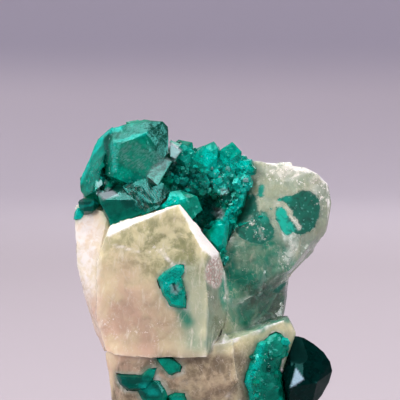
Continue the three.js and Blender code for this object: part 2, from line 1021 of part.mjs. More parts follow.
const calciteMaterial = new THREE.MeshStandardMaterial({
  color: 0xcbb99a,
  roughness: 0.35,
  metalness: 0,
});
const dioptaseMaterial = new THREE.MeshStandardMaterial({
  color: 0x0a8066,
  roughness: 0.2,
  metalness: 0,
});
const darkDioptaseMaterial = new THREE.MeshStandardMaterial({
  color: 0x06302a,
  roughness: 0.12,
  metalness: 0,
});

function bodyOf(shape, grow) {
  if (shape.corners) return flatFacedBody(shape.corners, grow);
  if (shape.outline) return flatFacedBody(tabletCorners(shape), grow);
  return dioptase(shape, grow);
}

function namedMesh(name, solid, material) {
  const mesh = new THREE.Mesh(geometryOf(solid), material);
  mesh.name = name;
  return mesh;
}

// Removes what lies below the base plane, with a block wider than the specimen.
function trimmedAtBase(solid) {
  const block = new THREE.BoxGeometry(3 * SPECIMEN_WIDTH, 3 * SPECIMEN_WIDTH, SPECIMEN_HEIGHT);
  block.translate(0, 0, BASE_Z - SPECIMEN_HEIGHT / 2);
  return solid.subtract(solidOf(block));
}

function buildSpecimen() {
  const group = new THREE.Group();
  group.name = "dioptase_specimen";
  let matrix = join([
    ...[
      frontCrystal,
      rightCrystal,
      rightCrystalNeck,
      leftCrystal,
      ledgeBlock,
      pinkBlock,
      lowerLeftMass,
      core,
    ].map((corners) => flatFacedBody(corners)),
    ...cleavageSteps.flatMap(({ axis, roll, rhombs }) =>
      rhombs.map(([x, y, z, ...edges]) => calciteRhomb({ at: [x, y, z], axis, roll, edges })),
    ),
  ]);
  const claimed = [];
  for (const [name, shapes] of Object.entries(dioptasePieces)) {
    let piece = join(shapes.map((shape) => bodyOf(shape, 0)));
    for (const taken of claimed) piece = piece.subtract(taken);
    const pocket = join(shapes.map((shape) => bodyOf(shape, SEAT_GAP)));
    claimed.push(pocket);
    matrix = matrix.subtract(pocket);
    const material = name === "dioptase_dark_crystal" ? darkDioptaseMaterial : dioptaseMaterial;
    group.add(namedMesh(name, largestBody(piece), material));
  }
  group.add(namedMesh("calcite_matrix", largestBody(trimmedAtBase(matrix)), calciteMaterial));
  return group;
}

const specimen = buildSpecimen();

export default specimen;
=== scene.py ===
# %% [markdown]
# # A dioptase specimen on calcite
# Dioptase is a copper silicate: short emerald-green crystals, glassy, almost black where they are
# thick and bright teal at thin edges. Here they sit on and inside milky calcite. The solids come
# packed from the CAD step, and this lesson gives them their stone surfaces, materials and light.

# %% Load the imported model
import math

import bmesh
import bpy
import numpy as np

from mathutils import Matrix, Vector
from mathutils.bvhtree import BVHTree


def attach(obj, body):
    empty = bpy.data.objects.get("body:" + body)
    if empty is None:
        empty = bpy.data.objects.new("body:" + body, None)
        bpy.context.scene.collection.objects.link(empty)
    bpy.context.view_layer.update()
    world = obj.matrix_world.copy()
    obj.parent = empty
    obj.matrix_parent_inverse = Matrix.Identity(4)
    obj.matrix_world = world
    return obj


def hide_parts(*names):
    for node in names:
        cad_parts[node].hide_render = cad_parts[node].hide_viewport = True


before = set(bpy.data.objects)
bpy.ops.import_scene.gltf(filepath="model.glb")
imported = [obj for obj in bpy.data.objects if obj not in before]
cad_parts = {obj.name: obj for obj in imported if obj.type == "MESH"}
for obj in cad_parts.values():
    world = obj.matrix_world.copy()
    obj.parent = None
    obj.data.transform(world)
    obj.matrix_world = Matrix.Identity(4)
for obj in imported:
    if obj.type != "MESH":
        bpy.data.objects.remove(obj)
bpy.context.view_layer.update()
MM = 0.001
print("CAD nodes:", sorted(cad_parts))

# %% [markdown]
# ## The camera
# The photograph was taken with a long lens from a little above, level with the middle of the
# piece. Its lower edge cuts the foot off, so the camera keeps the same cut.

# %% Camera
CAMERA_TARGET_MM = np.array([-0.625, -1.16, 40.25])
CAMERA_DISTANCE_MM = 500.0
CAMERA_ELEVATION = math.radians(4.0)
SENSOR_MM = 36.0
PHOTO_SIDE_PX = 400
PIXELS_PER_UNIT_SLOPE = 3200.0

camera_data = bpy.data.cameras.new("camera")
camera_data.sensor_width = SENSOR_MM
camera_data.lens = SENSOR_MM * PIXELS_PER_UNIT_SLOPE / PHOTO_SIDE_PX
camera_data.clip_start, camera_data.clip_end = 0.01, 20.0
camera = bpy.data.objects.new("camera", camera_data)
bpy.context.scene.collection.objects.link(camera)
towards_camera = np.array([0.0, -math.cos(CAMERA_ELEVATION), math.sin(CAMERA_ELEVATION)])
camera.location = (CAMERA_TARGET_MM + CAMERA_DISTANCE_MM * towards_camera) * MM
camera.rotation_euler = (math.pi / 2 - CAMERA_ELEVATION, 0.0, 0.0)
bpy.context.scene.camera = camera
print("camera at", tuple(round(c, 3) for c in camera.location), "lens", camera_data.lens)

# %% [markdown]
# ## Noise worked out with numpy
# Natural faces are never smooth. All the relief below is built from one function: value noise, a
# lattice of random heights that is blended between its eight nearest corners.

# %% Noise helpers
LATTICE_PRIMES = (374761393, 668265263, 2147483647, 974634777)
MIXING_PRIME = 1274126177
LOW_32_BITS, LOW_16_BITS = 0xFFFFFFFF, 0xFFFF


def lattice_value(i, j, k, seed):
    """A number in 0..1 for each whole-number lattice point, scrambled by integer arithmetic."""
    h = sum(n * prime for n, prime in zip((i, j, k, seed), LATTICE_PRIMES)) & LOW_32_BITS
    h = ((h ^ (h >> 13)) * MIXING_PRIME) & LOW_32_BITS
    return ((h ^ (h >> 16)) & LOW_16_BITS) / LOW_16_BITS


def unit(x):
    """x held within 0 and 1."""
    return np.clip(x, 0, 1)


def eased(t):
    """3t^2 - 2t^3: a rise from 0 to 1 that starts and ends gently."""
    return t * t * (3 - 2 * t)


def value_noise(points, size, seed):
    """Smooth noise in -1..1: heights on a lattice of the given size in mm, blended with the
    eased curve along each axis."""
    p = points / size
    cell = np.floor(p).astype(np.int64)
    t = eased(p - cell)
    total = np.zeros(len(points))
    for corner in range(8):
        bits = np.array([(corner >> axis) & 1 for axis in range(3)])
        weight = np.prod(np.where(bits, t, 1 - t), axis=1)
        i, j, k = (cell + bits).T
        total += weight * lattice_value(i, j, k, seed)
    return 2 * total - 1


def layered_noise(points, size, layers, seed):
    """Value noise summed over layers, each at half the size and half the height of the last."""
    total = np.zeros(len(points))
    for layer in range(layers):
        total += value_noise(points, size / 2**layer, seed + 17 * layer) / 2**layer
    return total / (2 - 2 ** (1 - layers))


def terraces(height, rise, sharpness=6.0):
    """Turns a smooth height into flat steps of the given rise with steep but not vertical sides."""
    level = height / rise
    base = np.floor(level)
    t = unit((level - base - 0.5) * sharpness + 0.5)
    return (base + eased(t)) * rise


def stroke(points, start, end, radii, soft):
    """1 near the straight line from start to end, and 0 away from it. Offsets from the line are
    divided by the radii along X, Y and Z, and the share soft of them is the blurred border."""
    a, b = np.array(start, float), np.array(end, float)
    length = max(((b - a) ** 2).sum(), 1e-9)
    along = unit((points - a) @ (b - a) / length)
    reach = np.linalg.norm((points - a - np.outer(along, b - a)) / np.array(radii), axis=1)
    return eased(unit((1 + soft - reach) / (2 * soft)))


def blob(points, centre, radii, soft):
    """A stroke with no length: a soft ellipsoid."""
    return stroke(points, centre, centre, radii, soft)


def strokes(points, rows, soft):
    """The sum of soft strokes, each row giving an amount, a start, an end and the radii."""
    total = np.zeros(len(points))
    for amount, start, end, radii in rows:
        total += amount * stroke(points, start, end, radii, soft)
    return total


def wandering(points, reach, size, layers, seeds):
    """The points, each moved by up to reach mm of layered noise along X, Y and Z, so that what is
    read there gets wavering borders."""
    away = [layered_noise(points, size, layers, seed) for seed in seeds]
    return points + reach * np.stack(away, axis=1)


def stretched(points, along, stretch):
    """The points with their extent along a direction divided by stretch, so that noise read there
    is drawn out into streaks along it."""
    d = np.array(along) / np.linalg.norm(along)
    part = points @ d
    return points - np.outer(part * (1 - 1 / stretch), d)


# %% [markdown]
# ## Copies of the solids
# A CAD node's mesh is loose triangles and stays as it is. Each piece starts from a copy: its
# doubled corners are merged, and an even net is laid over it, which gives the noise something to
# move. A sharp remesh keeps the crystal edges.

# %% Mesh helpers
DOUBLES_MM = 0.002
FEWEST_HALVINGS = 3
FULLEST_BOX = 0.99


def read_array(items, name, width=1, kind=float):
    """One value of every item of a mesh: a plain array, or rows of the given width."""
    flat = np.empty(len(items) * width, kind)
    items.foreach_get(name, flat)
    return flat if width == 1 else flat.reshape(-1, width)


def vertex_array(mesh):
    """All corners of a mesh in mm, one row each."""
    return read_array(mesh.vertices, "co", 3) / MM


def set_vertices(mesh, points):
    """Writes corners in mm back to the mesh."""
    mesh.vertices.foreach_set("co", (points * MM).ravel())
    mesh.update()


def normal_array(mesh):
    """The mesh's normals at its corners, one row each."""
    return read_array(mesh.vertex_normals, "vector", 3)


def edge_array(mesh):
    """The two corner numbers of every edge."""
    return read_array(mesh.edges, "vertices", 2, np.int64)


def spread(values, edges, rounds):
    """Averages a value per corner with its neighbours, the given number of times."""
    count = np.bincount(edges.ravel(), minlength=len(values)) + 1.0
    for _ in range(rounds):
        total = values + np.bincount(edges[:, 0], values[edges[:, 1]], len(values))
        total += np.bincount(edges[:, 1], values[edges[:, 0]], len(values))
        values = total / count
    return values


def rim_array(mesh):
    """How sharp the surface is at each corner: 0 on a flat face, up to about 1 on a sharp edge.
    It is one minus the length of the average of the surrounding face normals."""
    normals = read_array(mesh.polygons, "normal", 3)
    loops = read_array(mesh.loops, "vertex_index", kind=np.int64)
    sides = read_array(mesh.polygons, "loop_total", kind=np.int64)
    owner = np.repeat(np.arange(len(sides)), sides)
    total = np.stack([np.bincount(loops, normals[owner, k], len(mesh.vertices)) for k in range(3)])
    count = np.maximum(np.bincount(loops, minlength=len(mesh.vertices)), 1)
    return 1 - np.linalg.norm(total / count, axis=0)


def merged_copy(node_name):
    """The node's triangles as a mesh of its own, with coincident corners merged."""
    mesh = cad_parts[node_name].data.copy()
    work = bmesh.new()
    work.from_mesh(mesh)
    bmesh.ops.remove_doubles(work, verts=work.verts, dist=DOUBLES_MM * MM)
    work.to_mesh(mesh)
    work.free()
    return mesh


def add_object(name, mesh):
    """Links a mesh to the scene as an object at the origin."""
    piece = bpy.data.objects.new(name, mesh)
    bpy.context.scene.collection.objects.link(piece)
    return piece


def evenly_netted(mesh, name, quad_mm):
    """The same shape as an even net of small quads, with its sharp edges kept. The net's cells
    come from halving the shape's box, so the depth is the number of halvings down to quad_mm."""
    points = vertex_array(mesh)
    longest = (points.max(0) - points.min(0)).max()
    depth = max(FEWEST_HALVINGS, math.ceil(math.log2(longest / quad_mm)))
    source = add_object(name + "_source", mesh)
    net = source.modifiers.new("net", "REMESH")
    net.mode = "SHARP"
    net.octree_depth = depth
    net.scale = min(FULLEST_BOX, longest / (quad_mm * 2**depth))
    net.use_remove_disconnected = False
    shown = source.evaluated_get(bpy.context.evaluated_depsgraph_get())
    result = bpy.data.meshes.new_from_object(shown)
    bpy.data.objects.remove(source)
    result.name = name
    return result


def add_mask(mesh, name, values):
    """Stores a number per corner for the material to read."""
    layer = mesh.attributes.new(name, "FLOAT", "POINT")
    layer.data.foreach_set("value", unit(values).astype(np.float32))


def finish_piece(name, mesh, node_names, material, crease_degrees):
    """Puts a finished mesh in the scene in place of its CAD nodes."""
    mesh.materials.clear()
    mesh.materials.append(material)
    mesh.polygons.foreach_set("use_smooth", np.ones(len(mesh.polygons), bool))
    mesh.set_sharp_from_angle(angle=math.radians(crease_degrees))
    piece = add_object(name, mesh)
    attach(piece, "root")
    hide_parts(*node_names)
    mesh.calc_loop_triangles()
    print(name, len(mesh.loop_triangles), "triangles")


# %% [markdown]
# ## A short way to write materials
# A material is a graph of nodes. The helper below makes one node and wires its inputs in a single
# call, so that each material reads as a list of steps.

# %% Material helpers
class Recipe:
    """A new material and short calls that add nodes to it."""

    def __init__(self, name):
        self.material = bpy.data.materials.new(name)
        self.material.use_nodes = True
        self.tree = self.material.node_tree
        self.tree.nodes.clear()
        self.output = self.tree.nodes.new("ShaderNodeOutputMaterial")
        coordinates = self.tree.nodes.new("ShaderNodeTexCoord").outputs["Object"]
        self.place = self.vector("SCALE", coordinates, scale=1 / MM)

    def feed(self, socket, value):
        """Wires a socket to an output, or sets it to a plain value. A colour gets its alpha of 1."""
        if isinstance(value, bpy.types.NodeSocket):
            self.tree.links.new(value, socket)
        elif socket.type == "RGBA":
            socket.default_value = (*value, 1)
        else:
            socket.default_value = value

    def node(self, kind, inputs, output=0, **settings):
        """Adds a node, feeds its inputs by name or number, and returns one output."""
        made = self.tree.nodes.new(kind)
        for key, value in settings.items():
            setattr(made, key, value)
        for key, value in inputs.items():
            self.feed(made.inputs[key], value)
        return made.outputs[output]

    def vector(self, operation, a, b=None, scale=None):
        """A sum on vectors."""
        inputs = {0: a}
        if b is not None:
            inputs[1] = b
        if scale is not None:
            inputs["Scale"] = scale
        output = "Value" if operation in ("LENGTH", "DOT_PRODUCT") else 0
        return self.node("ShaderNodeVectorMath", inputs, output, operation=operation)

    def math(self, operation, a, b=0.5):
        """A sum on numbers. The next three methods name the common ones."""
        return self.node("ShaderNodeMath", {0: a, 1: b}, operation=operation)

    def times(self, a, b):
        return self.math("MULTIPLY", a, b)

    def plus(self, a, b):
        return self.math("ADD", a, b)

    def larger(self, a, b):
        return self.math("MAXIMUM", a, b)

    def without(self, value, share=1.0):
        """One, less a share of the value."""
        return self.math("SUBTRACT", 1.0, self.times(value, share))

    def weighted(self, first, *others):
        """The sum of values, each given with its weight."""
        total = self.times(*first)
        for value, weight in others:
            total = self.plus(total, self.times(value, weight))
        return total

    def range(self, value, low, high, to_low=0.0, to_high=1.0):
        """Moves low..high to to_low..to_high with soft ends."""
        inputs = {"Value": value, "From Min": low, "From Max": high}
        inputs |= {"To Min": to_low, "To Max": to_high}
        return self.node("ShaderNodeMapRange", inputs, interpolation_type="SMOOTHSTEP")

    def noise(self, size, detail=3.0, place=None, distortion=0.0, roughness=0.55):
        """Clouds of the given size in mm."""
        inputs = {
            "Vector": place or self.place,
            "Scale": 1 / size,
            "Detail": detail,
            "Distortion": distortion,
            "Roughness": roughness,
        }
        return self.node("ShaderNodeTexNoise", inputs, "Fac")

    def streaks(self, size, length, turn, detail=3.0):
        """Noise drawn out to the given length along Z, and then turned by angles round X, Y and Z."""
        inputs = {"Vector": self.place, "Rotation": turn, "Scale": (1.0, 1.0, length)}
        turned = self.node("ShaderNodeMapping", inputs, vector_type="TEXTURE")
        return self.noise(size, detail, turned)

    def cells(self, size):
        """A random tone for each cell of the given size in mm."""
        return self.node("ShaderNodeTexVoronoi", {"Vector": self.place, "Scale": 1 / size}, "Color")

    def flecks(self, size, fray):
        """Cells whose tones are worn down a little by noise of the size fray."""
        return self.times(self.cells(size), self.range(self.noise(fray, 2.0), 0.4, 0.6, 0.75, 1.0))

    def mask(self, name):
        """The numbers that add_mask stored under this name."""
        return self.node("ShaderNodeAttribute", {}, "Fac", attribute_name=name)

    def patchy(self, mask_name, pattern, low, high, to_low=0.0, to_high=1.0):
        """A stored mask whose strength is broken up by a pattern, which range moves first."""
        return self.times(self.mask(mask_name), self.range(pattern, low, high, to_low, to_high))

    def mix(self, amount, a, b):
        """Mixes two colours, which a Mix node takes at its inputs 6 and 7 and gives at output 2."""
        return self.node("ShaderNodeMix", {0: amount, 6: a, 7: b}, 2, data_type="RGBA")

    def bump(self, height, distance_mm, strength):
        """Small relief that only bends the light."""
        inputs = {"Height": height, "Distance": distance_mm * MM, "Strength": strength}
        return self.node("ShaderNodeBump", inputs)

    def surface(self, **inputs):
        """The main shader. Underscores in the names stand for spaces."""
        named = {key.replace("_", " "): value for key, value in inputs.items()}
        shader = self.node("ShaderNodeBsdfPrincipled", named)
        self.tree.links.new(shader, self.output.inputs["Surface"])
        return self.material

    def absorption(self, colour, density):
        """Light that goes through the stone loses the colours that this one lacks."""
        inputs = {"Color": colour, "Density": density}
        shader = self.node("ShaderNodeVolumeAbsorption", inputs)
        self.tree.links.new(shader, self.output.inputs["Volume"])


# %% [markdown]
# ## Calcite
# The calcite is milky where it is full of veils and cracks and clear elsewhere. One material does
# both: masks stored on the mesh say where it is clear, chalky, pink or olive, where shade and
# highlights are painted into its colour, and noise breaks their borders up.

# %% Calcite material
CALCITE_TINT, CALCITE_DENSITY = (0.5, 0.88, 0.7), 110


def calcite_material():
    """Cream stone with olive, pink and white regions, and painted shade; some of the white is painted
    highlights and glints. The clear regions transmit light.
    """
    r = Recipe("milky_calcite")
    cloud = r.noise(4.5, 4.0, distortion=0.6)
    mottle = r.noise(1.3, 5.0, distortion=0.8)
    blotch = r.noise(2.3, 6.0, distortion=0.35, roughness=0.65)
    grain = r.noise(0.35, 3.0)
    veil = r.streaks(0.8, 4.5, (0.1, 0.12, 0.0), 5.0)
    crack = r.streaks(1.6, 2.5, (0.3, -0.4, 0.0), 3.0)

    cream = (0.79, 0.73, 0.45)
    tan = (0.6, 0.53, 0.31)
    olive = (0.32, 0.32, 0.16)
    pink = (0.69, 0.47, 0.34)
    sage = (0.38, 0.46, 0.36)
    chalk = (0.84, 0.79, 0.73)
    snow = (0.88, 0.85, 0.81)
    green = (0.015, 0.24, 0.15)
    # Painted shade: this dark brown darkens the lower part and a side face turned to the right, and adds
    # random darker tone at the back.
    shade = (0.2, 0.155, 0.1)
    teal = (0.0, 0.1, 0.065)
    bright_teal = (0.0, 0.32, 0.23)
    umber = (0.4, 0.29, 0.25)
    veil_white = (0.86, 0.8, 0.64)
    crack_beige = (0.8, 0.72, 0.6)
    night_teal = (0.002, 0.035, 0.025)
    glint_teal = (0.1, 0.38, 0.31)
    stain_green = (0.04, 0.22, 0.14)

    colour = r.mix(r.range(mottle, 0.3, 0.75, 0.0, 0.7), cream, tan)
    for mask_name, pattern, low, high, least, paint in [
        ("sage", cloud, 0.34, 0.62, 0.7, sage),
        ("olive", blotch, 0.4, 0.6, 0.12, olive),
        ("pink", cloud, 0.34, 0.62, 0.5, pink),
        ("shade", blotch, 0.34, 0.62, 0.5, shade),
        ("green", cloud, 0.34, 0.62, 0.6, green),
    ]:
        colour = r.mix(r.patchy(mask_name, pattern, low, high, least), colour, paint)
    veiled = r.larger(r.mask("clear"), r.mask("shade"))
    veils = r.times(r.range(veil, 0.55, 0.72, 0.0, 0.6), r.without(veiled, 0.8))
    colour = r.mix(veils, colour, veil_white)
    thin_cracks = r.range(r.math("ABSOLUTE", r.math("SUBTRACT", crack, 0.5)), 0.0, 0.012, 0.3, 0.0)
    colour = r.mix(thin_cracks, colour, crack_beige)
    sunk = r.mix(r.mask("bright"), teal, bright_teal)
    sunk = r.mix(r.range(mottle, 0.45, 0.7, 0.0, 0.7), sunk, night_teal)
    sunk = r.mix(r.range(r.cells(0.24), 0.8, 0.9, 0.0, 0.45), sunk, glint_teal)
    frayed = r.plus(r.mask("sunk"), r.range(blotch, 0.3, 0.7, -0.3, 0.3))
    sunk_share = r.range(frayed, 0.2, 0.7)
    colour = r.mix(sunk_share, colour, sunk)
    colour = r.mix(r.times(r.mask("stain"), 0.6), colour, stain_green)
    # White flecks, mixed in with the chalk colour, are painted glints.
    fleck = r.flecks(0.3, 0.16)
    flecks = r.times(r.range(fleck, 0.9, 0.95, 0.0, 0.85), r.range(blotch, 0.52, 0.64))
    flecks = r.larger(flecks, r.patchy("sparkle", fleck, 0.66, 0.78))
    chalk_and_painted_glints = r.larger(r.patchy("chalk", mottle, 0.34, 0.62, 0.35), flecks)
    colour = r.mix(chalk_and_painted_glints, colour, chalk)
    # This near white is partly frost and partly painted highlight on edges and bevels.
    frost = r.patchy("snow", grain, 0.3, 0.5, 0.55)
    colour = r.mix(frost, colour, snow)
    colour = r.mix(r.patchy("speckle", grain, 0.42, 0.52), colour, umber)

    white = r.larger(chalk_and_painted_glints, frost)
    opaque = r.larger(white, r.times(sunk_share, sunk_share))
    clear = r.times(r.patchy("clear", mottle, 0.25, 0.75, 1.0, 0.6), r.without(opaque))
    rough = r.plus(r.times(white, 0.35), r.range(mottle, 0.35, 0.7, 0.05, 0.2))
    rough = r.larger(rough, r.times(r.mask("sunk"), 0.7))
    relief = r.weighted((mottle, 0.7), (grain, 0.3))
    r.absorption(CALCITE_TINT, CALCITE_DENSITY)
    return r.surface(
        Base_Color=colour,
        Roughness=rough,
        IOR=1.6,
        Specular_IOR_Level=0.18,
        Transmission_Weight=clear,
        Subsurface_Weight=r.range(r.mask("sunk"), 0.0, 0.8, 0.4, 0.0),
        Subsurface_Radius=(1.0, 0.9, 0.7),
        Subsurface_Scale=1.8 * MM,
        Normal=r.bump(relief, 0.12, 0.55),
    )


calcite_stone = calcite_material()
print("material", calcite_stone.name, len(calcite_stone.node_tree.nodes), "nodes")

# %% [markdown]
# ## Sealing the embedded crystals
# Four dioptase crystals lie inside the clear calcite. The CAD solid has open pockets for them. Here
# the pocket walls come out of a copy and the mouths are closed, so that the clear stone covers them.

# %% Closed pockets
SEALED = [
    "dioptase_embedded_right",
    "dioptase_embedded_middle",
    "dioptase_embedded_speck",
    "dioptase_bevel_sliver",
]
POCKET_REACH_MM = 0.9
POCKET_FACING = 0.5


def surface_tree(mesh):
    """A search tree that finds the nearest point of a mesh."""
    points = [corner.co[:] for corner in mesh.vertices]
    return BVHTree.FromPolygons(points, [list(face.vertices) for face in mesh.polygons])


def faces_pocket(face, tree):
    """True for a wall of the pocket: all of it is near the crystal, and it looks at the crystal."""
    middle = face.calc_center_median()
    nearest = tree.find_nearest(middle, POCKET_REACH_MM * MM)[0]
    if nearest is None:
        return False
    near = all(tree.find_nearest(v.co, POCKET_REACH_MM * MM)[0] is not None for v in face.verts)
    return near and (nearest - middle).normalized().dot(face.normal) > POCKET_FACING


def sealed_calcite():
    """A copy of the calcite without the pockets of the sealed crystals."""
    mesh = merged_copy("calcite_matrix")
    work = bmesh.new()
    work.from_mesh(mesh)
    for node_name in SEALED:
        tree = surface_tree(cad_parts[node_name].data)
        walls = [face for face in work.faces if faces_pocket(face, tree)]
        bmesh.ops.delete(work, geom=walls, context="FACES")
        bmesh.ops.delete(work, geom=[v for v in work.verts if not v.link_faces], context="VERTS")
        mouth = [edge for edge in work.edges if edge.is_boundary]
        lids = bmesh.ops.holes_fill(work, edges=mouth, sides=0)
        bmesh.ops.triangulate(work, faces=lids["faces"])
        print(node_name, "sealed:", len(walls), "pocket walls out")
    work.to_mesh(mesh)
    work.free()
    return mesh


calcite_solid = sealed_calcite()
calcite_tree = surface_tree(calcite_solid)

# %% [markdown]
# ## The calcite's regions and relief
# A calcite crystal isn't one colour: it is clear where it grew slowly, chalky on bruised edges, and
# green where dioptase lies behind. Painting an image would need a flat map of the stone, so each
# region is a soft solid in space instead, and the mesh reads how much of it every corner has.

# %% Places on the calcite
# Bright edges that are painted near white: painted highlights.
SPARKLING_EDGES = [
    ((1.4, -12.1, 18.8), (4.8, -11.6, 19.7), 0.6),
    ((4.8, -11.6, 19.7), (12.3, -8.7, 22.3), 0.42),
    ((7.2, -1.9, 46.5), (12.8, -2.1, 45.8), 0.3),
    ((12.8, -2.1, 45.8), (17.8, -1.8, 44.6), 0.45),
    ((17.8, -1.8, 44.6), (19.4, -1.2, 43), 0.5),
    ((19.4, -1.2, 42.6), (19.6, -1, 37), 0.3),
]
# Spots where the white flecks, painted glints, gather.
SPARKLE_SPOTS = [
    (-15.6, -12, 22.0), (-14.5, -13, 22.8), (-11.0, -14, 20.8), (-8.9, -14, 21.1), (-7.3, -14, 19.7),
    (-14.4, -13, 19.7), (-4.9, -14, 29.7), (-8.2, -14, 34.0), (0.9, -13, 26.3), (1.7, -12, 22.1),
    (2.4, -12, 19.8), (-17.6, -8, 34.5), (-18, -8, 30), (7.2, -5, 36.6), (8.8, -5, 34.9), (15.2, -3, 42.8),
]
# The way the front crystal's two top bevels face; they are painted near white, partly frost and partly
# painted highlight.
BEVELS_WITH_FROST_AND_PAINTED_HIGHLIGHT = [(-0.416, -0.599, 0.684), (0.787, -0.455, 0.417)]
FRONT_VEILS = [
    ((-6.7, -14.4, 33.5), (-5.5, -14.4, 32.3), 0.3),
    ((-5.5, -14.4, 32.3), (-4.0, -14.4, 30.8), 0.22),
    ((-13.6, -14.4, 34), (-10.1, -14.4, 33.2), 0.2),
    ((3.2, -11, 30.5), (3.3, -11, 25.5), 0.22),
    ((8.6, -5, 26.3), (13.8, -3, 30.6), 0.3),
]
GREEN_WISPS = [
    (0.75, (9, -5, 28.7), (8.1, -5, 27.4), (0.8, 4, 0.8)),
    (0.4, (7.6, -3, 43.8), (8.2, -3, 44), (0.7, 3, 0.5)),
    (0.8, (8.8, -3, 42.4), (8.9, -3, 41.4), (0.6, 4, 0.8)),
    (0.55, (9, -3, 38.3), (9.5, -3, 37.9), (0.6, 3, 0.8)),
    (0.35, (5.8, -6, 31), (6.2, -6, 29), (0.4, 3, 1)),
    (1.0, (6.2, -4, 40.2), (6.6, -5, 37.6), (2.2, 5, 1.5)),
    (1.0, (6.6, -5, 37.2), (9, -5, 36), (1.9, 5, 1.9)),
]
WHITE_GAPS = [
    (1.0, (12.7, -4, 39.4), (14.9, -4, 36.2), (0.32, 4, 0.32)),
    (0.7, (7.1, -6, 37.3), (7.7, -6, 36.9), (0.35, 4, 0.16)),
    (0.7, (8.7, -6, 35.9), (9, -6, 34.6), (0.16, 4, 0.3)),
]
BEHIND_MM = 5
FRONT_FACING = -0.15
LID_MARGIN_MM = 1.6
LID_ROUNDS = 60
STAIN_REACH_MM = 1.1
print(len(SPARKLE_SPOTS), "bright spots and", len(GREEN_WISPS), "green wisps on the calcite")

# %% Sealed crystals and stains seen in the stone
def near_node(points, node_name, reach_mm):
    """Which of the points lie in the node's box, grown by reach_mm on every side."""
    crystal = vertex_array(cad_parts[node_name].data)
    return ((points > crystal.min(0) - reach_mm) & (points < crystal.max(0) + reach_mm)).all(axis=1)


def ray_hits(tree, points, reach_mm):
    """1 for each point from which a line straight back along +Y meets the surface."""
    start = points * MM - np.array([0, 1, 0]) * MM
    return np.array([tree.ray_cast(p, (0, 1, 0), reach_mm * MM)[0] is not None for p in start], float)


def sunk_masks(points, edges, facing):
    """How strongly each sealed crystal shows through the stone in front, and how bright it is."""
    sunk = np.zeros(len(points))
    for node_name in SEALED:
        near = near_node(points, node_name, 3) & (facing[:, 1] < FRONT_FACING)
        hit = np.zeros(len(points))
        hit[near] = ray_hits(surface_tree(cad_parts[node_name].data), points[near], BEHIND_MM)
        rounds, strength = (5, 0.7) if node_name == "dioptase_embedded_speck" else (1, 1.0)
        sunk = np.maximum(sunk, strength * spread(hit, edges, rounds))
    fine = wandering(points, 0.3, 0.9, 2, (13, 15, 17))
    for strength, start, end, radii in GREEN_WISPS:
        sunk = np.maximum(sunk, strength * stroke(fine, start, end, radii, 0.6))
    gap = strokes(fine, WHITE_GAPS, 0.5)
    bright = stroke(fine, (11.6, -4, 39.2), (13.2, -4, 35.6), (1, 4, 1), 0.3)
    bright += 0.4 * blob(fine, (12.6, -4, 40.7), (1.2, 4, 0.5), 0.4)
    bright += 0.6 * blob(points, (9, -3, 42), (1, 3, 1.2), 0.3)
    bright += 0.4 * blob(points, (9.2, -5.4, 38), (1, 3, 0.9), 0.6)
    sunk = sunk * (1 - 0.8 * unit(gap))
    return {"sunk": unit(sunk), "bright": bright, "gap": gap}


def smoothed_lids(points, moved, edges):
    """Averages the surface over the closed pockets, so that no lid shows as a facet."""
    lid = np.zeros(len(points))
    for node_name in SEALED:
        crystal = vertex_array(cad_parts[node_name].data)
        middle, half = (crystal.max(0) + crystal.min(0)) / 2, (crystal.max(0) - crystal.min(0)) / 2
        lid = np.maximum(lid, blob(points, middle, half + LID_MARGIN_MM, 0.25))
    smooth = np.stack([spread(moved[:, axis], edges, LID_ROUNDS) for axis in range(3)], axis=1)
    return moved + (smooth - moved) * lid[:, None]


def stain_mask(points, edges):
    """A green tint that fades over half a millimetre round each crystal that sits in the stone."""
    stain = np.zeros(len(points))
    for node_name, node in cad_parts.items():
        if node_name == "calcite_matrix" or node_name in SEALED:
            continue
        tree = surface_tree(node.data)
        near = near_node(points, node_name, 1)
        away = [tree.find_nearest(point, STAIN_REACH_MM * MM)[3] for point in points[near] * MM]
        away = np.array([STAIN_REACH_MM if d is None else d / MM for d in away])
        stain[near] = np.maximum(stain[near], unit((0.95 - away) / 0.5))
    return spread(stain, edges, 1)


# %% Calcite masks
def turned_to(facing, way, least, soft):
    """1 where a surface faces the given way, falling to 0 where its cosine is under least."""
    return unit((facing @ np.array(way) - least) / soft)


